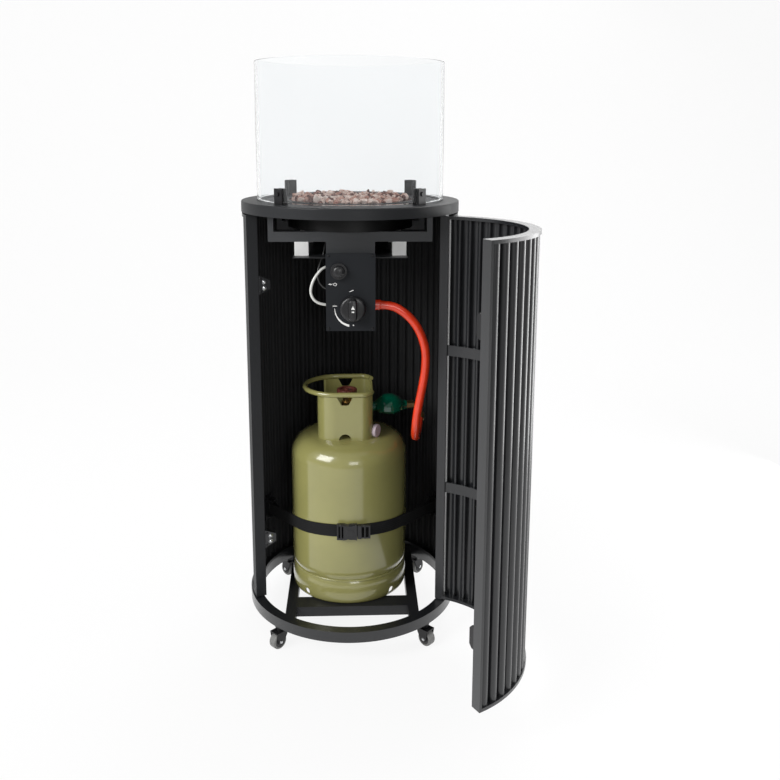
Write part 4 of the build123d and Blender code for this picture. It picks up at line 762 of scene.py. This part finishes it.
def webbingStrap():
    s = strapBand
    plan = strapPlan()
    tilt = math.tan(math.radians(s["tilt"]))
    half = s["width"] / 2 / math.cos(math.radians(s["tilt"]))
    thick = s["thickness"] / 2
    section = [(-1, 0.0), (-0.985, 0.75), (-0.93, 1.0), (-0.86, 0.86), (-0.4, 0.8), (0, 0.78), (0.4, 0.8),
               (0.86, 0.86), (0.93, 1.0), (0.985, 0.75), (1, 0.0)]     # round edges, thicker selvedge
    section += [(v, -t) for v, t in section[-2:0:-1]]
    bm = bmesh.new()
    uvLayer = bm.loops.layers.uv.new("webbing")
    loops = []
    travel = 0.0
    for i, spot in enumerate(plan):
        before, after = plan[max(i - 1, 0)], plan[min(i + 1, len(plan) - 1)]
        along = (after - before).normalized()
        out = Vector((along.y, -along.x))
        if i:
            travel += (spot - plan[i - 1]).length
        level = s["level"] - spot.y * tilt
        loop = []
        for v, t in section:
            shifted = spot + out * (t * thick)
            loop.append(bm.verts.new((shifted.x, shifted.y, level + v * half)))
        loops.append((loop, travel))
    for (low, u0), (high, u1) in zip(loops, loops[1:]):
        for k in range(len(section)):
            n = (k + 1) % len(section)
            face = bm.faces.new((low[k], low[n], high[n], high[k]))
            for loopCorner, (u, v) in zip(face.loops, ((u0, section[k][0]), (u0, section[n][0]),
                                                       (u1, section[n][0]), (u1, section[k][0]))):
                loopCorner[uvLayer].uv = (u, v * half)
    bm.faces.new(loops[0][0])
    bm.faces.new(loops[-1][0][::-1])
    strapPiece = pieceFromMesh("webbingStrap", bm, ["webbing"], sharp=50)
    placePiece(strapPiece, "cabinet", "bottle_strap")


webbingStrap()

buckle = {
    "middle": 0.2223,
    "height": 0.032,
    "front": -0.120,
    "back": -0.1092,
    "socket": {"left": -0.0165, "length": 0.0262, "waist": 0.17},
    "socketFrame": {"left": -0.0285, "right": -0.0165, "low": 0.72, "high": 0.98},  # shares of half height
    "socketBars": [(-0.0288, -0.0258, 0.0026), (-0.0222, -0.0194, 0.0016)],         # left, right, set back
    "thumbPad": (-0.011, 0.004, 0.0045),
    "plug": (0.0102, 0.0185),
    "plugBars": [(0.0232, 0.0262, 0.0022), (0.0318, 0.0352, 0.003)],
    "plugArms": {"left": 0.0182, "right": 0.0352, "width": 0.0034},
    "prongs": {"left": -0.006, "right": 0.0062, "low": 0.8, "high": 0.97},
}


def sideReleaseBuckle():
    b = buckle
    mid, half = b["middle"], b["height"] / 2
    front, back = b["front"], b["back"]
    # socket: waisted box with a ladder frame on its left
    bm = bmesh.new()
    box, frameSides = b["socket"], b["socketFrame"]
    edge = [(box["left"] + box["length"] * k / 12, half * (1 - box["waist"] * math.sin(math.pi * k / 12)))
            for k in range(13)]
    outline = [(x, mid + z) for x, z in edge] + [(x, mid - z) for x, z in edge[::-1]]
    slabInto(bm, outline, front + 0.0006, back)
    for z0, z1 in ((mid + half * frameSides["low"], mid + half * frameSides["high"]),
                   (mid - half * frameSides["high"], mid - half * frameSides["low"])):
        plateInto(bm, frameSides["left"], frameSides["right"], z0, z1, 0.0012, front + 0.003, back)
    for x0, x1, setBack in b["socketBars"]:
        plateInto(bm, x0, x1, mid - half * 0.97, mid + half * 0.97, 0.0008, front + setBack, back - 0.001)
    x0, x1, reach = b["thumbPad"]
    plateInto(bm, x0, x1, mid - reach, mid + reach, 0.003, front, front + 0.002, 5)
    socket = roundEdges(pieceFromMesh("buckleSocket", bm, ["buckleBlack"], sharp=30), 0.0007)
    placePiece(socket, "cabinet", "buckle_socket")

    # plug: head, ladder frame, and the spring prongs that show in the socket's waist
    bm = bmesh.new()
    low, high = mid - half * 0.84, mid + half * 0.84
    plateInto(bm, *b["plug"], low, high, 0.0018, front + 0.0014, back, 4)
    for x0, x1, setBack in b["plugBars"]:
        plateInto(bm, x0, x1, low, high, 0.0012, front + setBack, back - 0.001, 4)
    arms, prongs = b["plugArms"], b["prongs"]
    for z0, z1 in ((low, low + arms["width"]), (high - arms["width"], high)):
        plateInto(bm, arms["left"], arms["right"], z0, z1, 0.001, front + 0.0036, back)
    for side in (-1, 1):
        z0, z1 = sorted((mid + side * half * prongs["low"], mid + side * half * prongs["high"]))
        plateInto(bm, prongs["left"], prongs["right"], z0, z1, 0.0009, front + 0.0028, back - 0.0015)
    plug = roundEdges(pieceFromMesh("bucklePlug", bm, ["buckleBlack"], sharp=30), 0.0006)
    placePiece(plug, "cabinet", "buckle_plug")


sideReleaseBuckle()
print("strap and buckle fitted")

# Ball catches on the left post: balls, their ring and the fixing screws
ballCatch = {
    "levels": (0.693, 0.189),
    "turn": -65.26,
    "front": -0.00489,
    "reach": 0.173,
    "ball": 0.0034,
    "spread": 0.0055,
    "screwReach": 0.1808,
    "screwSpread": 0.0125,
}


def catchFittings():
    c = ballCatch
    turn = Matrix.Rotation(math.radians(c["turn"]), 3, "Z")
    ahead = turn @ Vector((1, 0, 0))
    bm = bmesh.new()
    for level in c["levels"]:
        for side in (-1, 1):
            spot = turn @ Vector((c["front"], -c["reach"], level + side * c["spread"]))
            ball = [(c["ball"] * math.sin(t), -c["ball"] * math.cos(t))
                    for t in [0.05 + (math.pi - 0.1) * k / 16 for k in range(17)]]
            latheInto(bm, ball, spot, ahead, 32, closed=False)
            rim = [(c["ball"] + 0.0002, 0.0), (c["ball"] + 0.0011, 0.0), (c["ball"] + 0.0011, 0.0006),
                   (c["ball"] + 0.0005, 0.0011), (c["ball"] + 0.0002, 0.0008)]
            latheInto(bm, rim, spot, ahead, 32)
            screw = turn @ Vector((c["front"], -c["screwReach"], level + side * c["screwSpread"]))
            head = [(0.0004, 0.0012), (0.0016, 0.0011), (0.0024, 0.0007), (0.0027, 0.0), (0.0004, 0.0)]
            latheInto(bm, head, screw, ahead, 24, 1)
    fittings = pieceFromMesh("catchFittings", bm, ["zincSteel", "clipBlack"], sharp=40)
    placePiece(fittings, "cabinet")


catchFittings()

# Castors: dark wheel discs and bright axle caps
castor = {
    "angles": (-45, 45, 135, -135),
    "axle": 0.202,
    "height": 0.0155,
    "disc": [(0.0053, 0.0068), (0.0107, 0.0068), (0.0107, 0.0073), (0.0098, 0.0077),
             (0.0080, 0.0073), (0.0062, 0.0077), (0.0053, 0.0077)],
    "capAt": 0.0106,
    "cap": [(0.0003, 0.0017), (0.0018, 0.0016), (0.00289, 0.0011), (0.0034, 0.0004), (0.0034, 0.0),
            (0.0003, 0.0)],
}


def castorTrim():
    c = castor
    cap = [(radius, c["capAt"] + along) for radius, along in c["cap"]]
    for i, angle in enumerate(c["angles"], start=1):
        turn = Matrix.Rotation(math.radians(angle), 3, "Z")
        middle = turn @ Vector((0, -c["axle"], c["height"]))
        discs, caps = bmesh.new(), bmesh.new()
        for side in (-1, 1):
            out = turn @ Vector((side, 0, 0))
            latheInto(discs, c["disc"], middle, out, 48)
            latheInto(caps, cap, middle, out, 32)
        placePiece(pieceFromMesh(f"castorDiscs_{i}", discs, ["castorHub"]), f"castor_roll_{i}")
        placePiece(pieceFromMesh(f"axleCaps_{i}", caps, ["zincSteel"]), f"castor_swivel_{i}")


castorTrim()

# Bottle: foot ring with its air holes, the bead above it and the weld round the body
bottle = {
    "middle": (-0.006, 0.008, 0),
    "footLow": 0.066,
    "footOuter": [(0.1085, 0.0002), (0.1122, 0.0014), (0.1139, 0.005), (0.1147, 0.012), (0.115, 0.022),
                  (0.1149, 0.032), (0.1141, 0.0385), (0.1126, 0.0435), (0.1112, 0.0465), (0.1104, 0.048)],
    "footInner": [(0.1092, 0.0468), (0.1104, 0.041), (0.1116, 0.035), (0.1121, 0.024), (0.1118, 0.012),
                  (0.1108, 0.006), (0.1088, 0.003)],
    "hole": {"angle": 46.5, "level": 0.077, "radius": 0.0065, "from": 0.095, "length": 0.04},
    "bead": {"radius": 0.1115, "level": 0.114, "size": 0.0019},
    "weld": [(0.1146, 0.2136), (0.1156, 0.2141), (0.1159, 0.2150), (0.1156, 0.2159), (0.1146, 0.2164)],
}


def footRing():
    b, hole = bottle, bottle["hole"]
    bm = bmesh.new()
    latheInto(bm, [(r, b["footLow"] + z) for r, z in b["footOuter"] + b["footInner"]], b["middle"], steps=192)
    ring = pieceFromMesh("footRing", bm, ["olive"], sharp=50)
    bm = bmesh.new()
    for side in (-1, 1):             # air holes
        turn = Matrix.Rotation(math.radians(side * hole["angle"]), 3, "Z")
        start = Vector(b["middle"]) + turn @ Vector((0, -hole["from"], 0)) + Vector((0, 0, hole["level"]))
        drill = [(hole["radius"], 0.0), (hole["radius"], hole["length"])]
        latheInto(bm, drill, start, turn @ Vector((0, -1, 0)), 40, closed=False)
    cutter = pieceFromMesh("holeCutter", bm, [])
    cut = ring.modifiers.new("airHoles", "BOOLEAN")
    cut.object = cutter
    bpy.context.view_layer.update()
    drilled = bpy.data.meshes.new_from_object(ring.evaluated_get(bpy.context.evaluated_depsgraph_get()))
    ring.modifiers.clear()
    ring.data = drilled
    drilled.set_sharp_from_angle(angle=math.radians(50))
    bpy.data.objects.remove(cutter)
    placePiece(ring, "cabinet", "bottle_foot")


def bottleBeads():
    bead = bottle["bead"]
    turns = [2 * math.pi * k / 14 for k in range(14)]
    section = [(bead["radius"] + bead["size"] * math.cos(a), bead["level"] + bead["size"] * math.sin(a))
               for a in turns]
    bm = bmesh.new()
    latheInto(bm, section, bottle["middle"], steps=160)
    latheInto(bm, bottle["weld"], bottle["middle"], steps=160)
    beads = pieceFromMesh("bottleBeads", bm, ["olive"], sharp=50)
    placePiece(beads, "cabinet")


footRing()
bottleBeads()

# Hose ends: a moulded red cuff at the valve, a crimped brass sleeve at the regulator
hoseEnds = {
    "cuff": [(0.0081, 0.009), (0.0086, 0.009), (0.0094, 0.006), (0.0096, 0.0), (0.0096, -0.004),
             (0.0055, -0.0045), (0.0055, -0.001), (0.0081, 0.0)],
    "sleeve": [(0.0081, 0.0085), (0.0093, 0.0089), (0.0098, 0.0078), (0.0093, 0.0066), (0.0098, 0.0052),
               (0.0093, 0.004), (0.0098, 0.0026), (0.0098, -0.003), (0.009, -0.0048), (0.0055, -0.0048),
               (0.0055, -0.001), (0.0081, 0.0)],
}


def crimpSleeves():
    route = gasHose["points"]
    bm = bmesh.new()
    for slot, (profile, end, inner) in enumerate(((hoseEnds["cuff"], route[0], route[1]),
                                                  (hoseEnds["sleeve"], route[-1], route[-2]))):
        latheInto(bm, profile, end, Vector(inner) - Vector(end), 48, slot)
    sleeves = pieceFromMesh("crimpSleeves", bm, ["hoseRed", "brass"], sharp=40)
    placePiece(sleeves, "cabinet", "hose_ferrules")


crimpSleeves()

# Screws of the control panel
screwHeads = {"radius": 0.0024, "height": 0.0012, "aside": 0.039, "levels": (0.6265, 0.7575), "face": -0.142}


def fixingScrews():
    s = screwHeads
    head = [(0.0003, s["height"]), (s["radius"] * 0.7, s["height"] * 0.9), (s["radius"], s["height"] * 0.3),
            (s["radius"], 0.0), (0.0003, 0.0)]
    bm = bmesh.new()
    for x in (-s["aside"], s["aside"]):
        for z in s["levels"]:
            latheInto(bm, head, (x, s["face"], z), (0, -1, 0), 24)
    placePiece(pieceFromMesh("panelScrews", bm, ["clipBlack"]), "cabinet")


fixingScrews()
print("small fittings in place")

# Studio: white sweep, soft lamps
studio = {
    "floorSize": 7.0,
    "front": 1.55,
    "backWall": 3.2,
    "curve": 1.2,
    "wallHeight": 4.0,
    "white": 0.9,
    "glow": 0.88,
    "world": 0.38,        # what the white world adds to the lamps
}


def seenDirectly(tree, others=("Is Transmission Ray", "Is Glossy Ray")):
    # 1 for camera rays and the other kinds named, else 0
    path = tree.nodes.new("ShaderNodeLightPath")
    seen = path.outputs["Is Camera Ray"]
    for other in others:
        either = tree.nodes.new("ShaderNodeMath")
        either.operation = "MAXIMUM"
        tree.links.new(seen, either.inputs[0])
        tree.links.new(path.outputs[other], either.inputs[1])
        seen = either.outputs[0]
    return seen


def whiteBackdrop():
    mesh = bpy.data.meshes.new("backdrop")
    bm = bmesh.new()
    profile = [(-studio["front"], 0.0), (studio["backWall"] - studio["curve"], 0.0)]
    for step in range(1, 17):
        a = math.pi / 2 * step / 16
        profile.append((studio["backWall"] - studio["curve"] + studio["curve"] * math.sin(a),
                        studio["curve"] * (1 - math.cos(a))))
    profile.append((studio["backWall"], studio["wallHeight"]))
    rows = []
    for y, z in profile:
        rows.append([bm.verts.new((x, y, z)) for x in (-studio["floorSize"], studio["floorSize"])])
    for low, high in zip(rows, rows[1:]):
        bm.faces.new((low[0], low[1], high[1], high[0]))
    for face in bm.faces:
        face.smooth = True
    bm.to_mesh(mesh)
    bm.free()
    wall = bpy.data.objects.new("backdrop", mesh)
    scene.collection.objects.link(wall)
    mat = bpy.data.materials.new("backdropPaper")
    mat.use_nodes = True
    tree = mat.node_tree
    tree.nodes.clear()
    out = tree.nodes.new("ShaderNodeOutputMaterial")
    paper = tree.nodes.new("ShaderNodeBsdfDiffuse")
    paper.inputs["Color"].default_value = (studio["white"],) * 3 + (1,)
    glow = tree.nodes.new("ShaderNodeEmission")
    glow.inputs["Strength"].default_value = 1.0
    mix = tree.nodes.new("ShaderNodeMixShader")
    share = tree.nodes.new("ShaderNodeMath")
    share.operation = "MULTIPLY"
    share.inputs[1].default_value = studio["glow"]
    tree.links.new(seenDirectly(tree), share.inputs[0])
    tree.links.new(share.outputs[0], mix.inputs["Fac"])
    tree.links.new(paper.outputs[0], mix.inputs[1])
    tree.links.new(glow.outputs[0], mix.inputs[2])
    tree.links.new(mix.outputs[0], out.inputs["Surface"])
    mesh.materials.append(mat)


whiteBackdrop()


def whiteWorld():
    world = bpy.data.worlds.new("studioWorld")
    scene.world = world
    world.use_nodes = True
    tree = world.node_tree
    light = tree.nodes["Background"]
    light.inputs["Color"].default_value = (1, 1, 1, 1)
    light.inputs["Strength"].default_value = studio["world"]
    shown = tree.nodes.new("ShaderNodeBackground")
    shown.inputs["Color"].default_value = (1, 1, 1, 1)
    shown.inputs["Strength"].default_value = 1.0
    mix = tree.nodes.new("ShaderNodeMixShader")
    tree.links.new(seenDirectly(tree, ["Is Transmission Ray"]), mix.inputs["Fac"])
    tree.links.new(light.outputs[0], mix.inputs[1])
    tree.links.new(shown.outputs[0], mix.inputs[2])
    tree.links.new(mix.outputs[0], tree.nodes["World Output"].inputs["Surface"])


whiteWorld()

lamps = {
    "key": {"place": (-2.7, -2.1, 2.4), "aim": (0, 0, 0.6), "size": 2.0, "power": 125},
    "side": {"place": (1.4, 0.15, 0.38), "aim": (0.4, -0.1, 0.36), "size": 1.3, "power": 17},
    "fill": {"place": (0.6, -3.4, 1.3), "aim": (0, 0, 0.5), "size": 1.0, "power": 16},
    "rim": {"place": (1.2, 2.4, 2.8), "aim": (0, 0, 0.7), "size": 2.0, "power": 45},
}
for name, lamp in lamps.items():
    data = bpy.data.lights.new(name, "AREA")
    data.shape = "SQUARE"
    data.size = lamp["size"]
    data.energy = lamp["power"]
    light = bpy.data.objects.new(name, data)
    light.visible_camera = False
    light.visible_transmission = False
    scene.collection.objects.link(light)
    light.location = lamp["place"]
    aim = Vector(lamp["aim"]) - Vector(lamp["place"])
    light.rotation_euler = aim.to_track_quat("-Z", "Y").to_euler()
print("studio lit")

scene.view_settings.view_transform = "Standard"
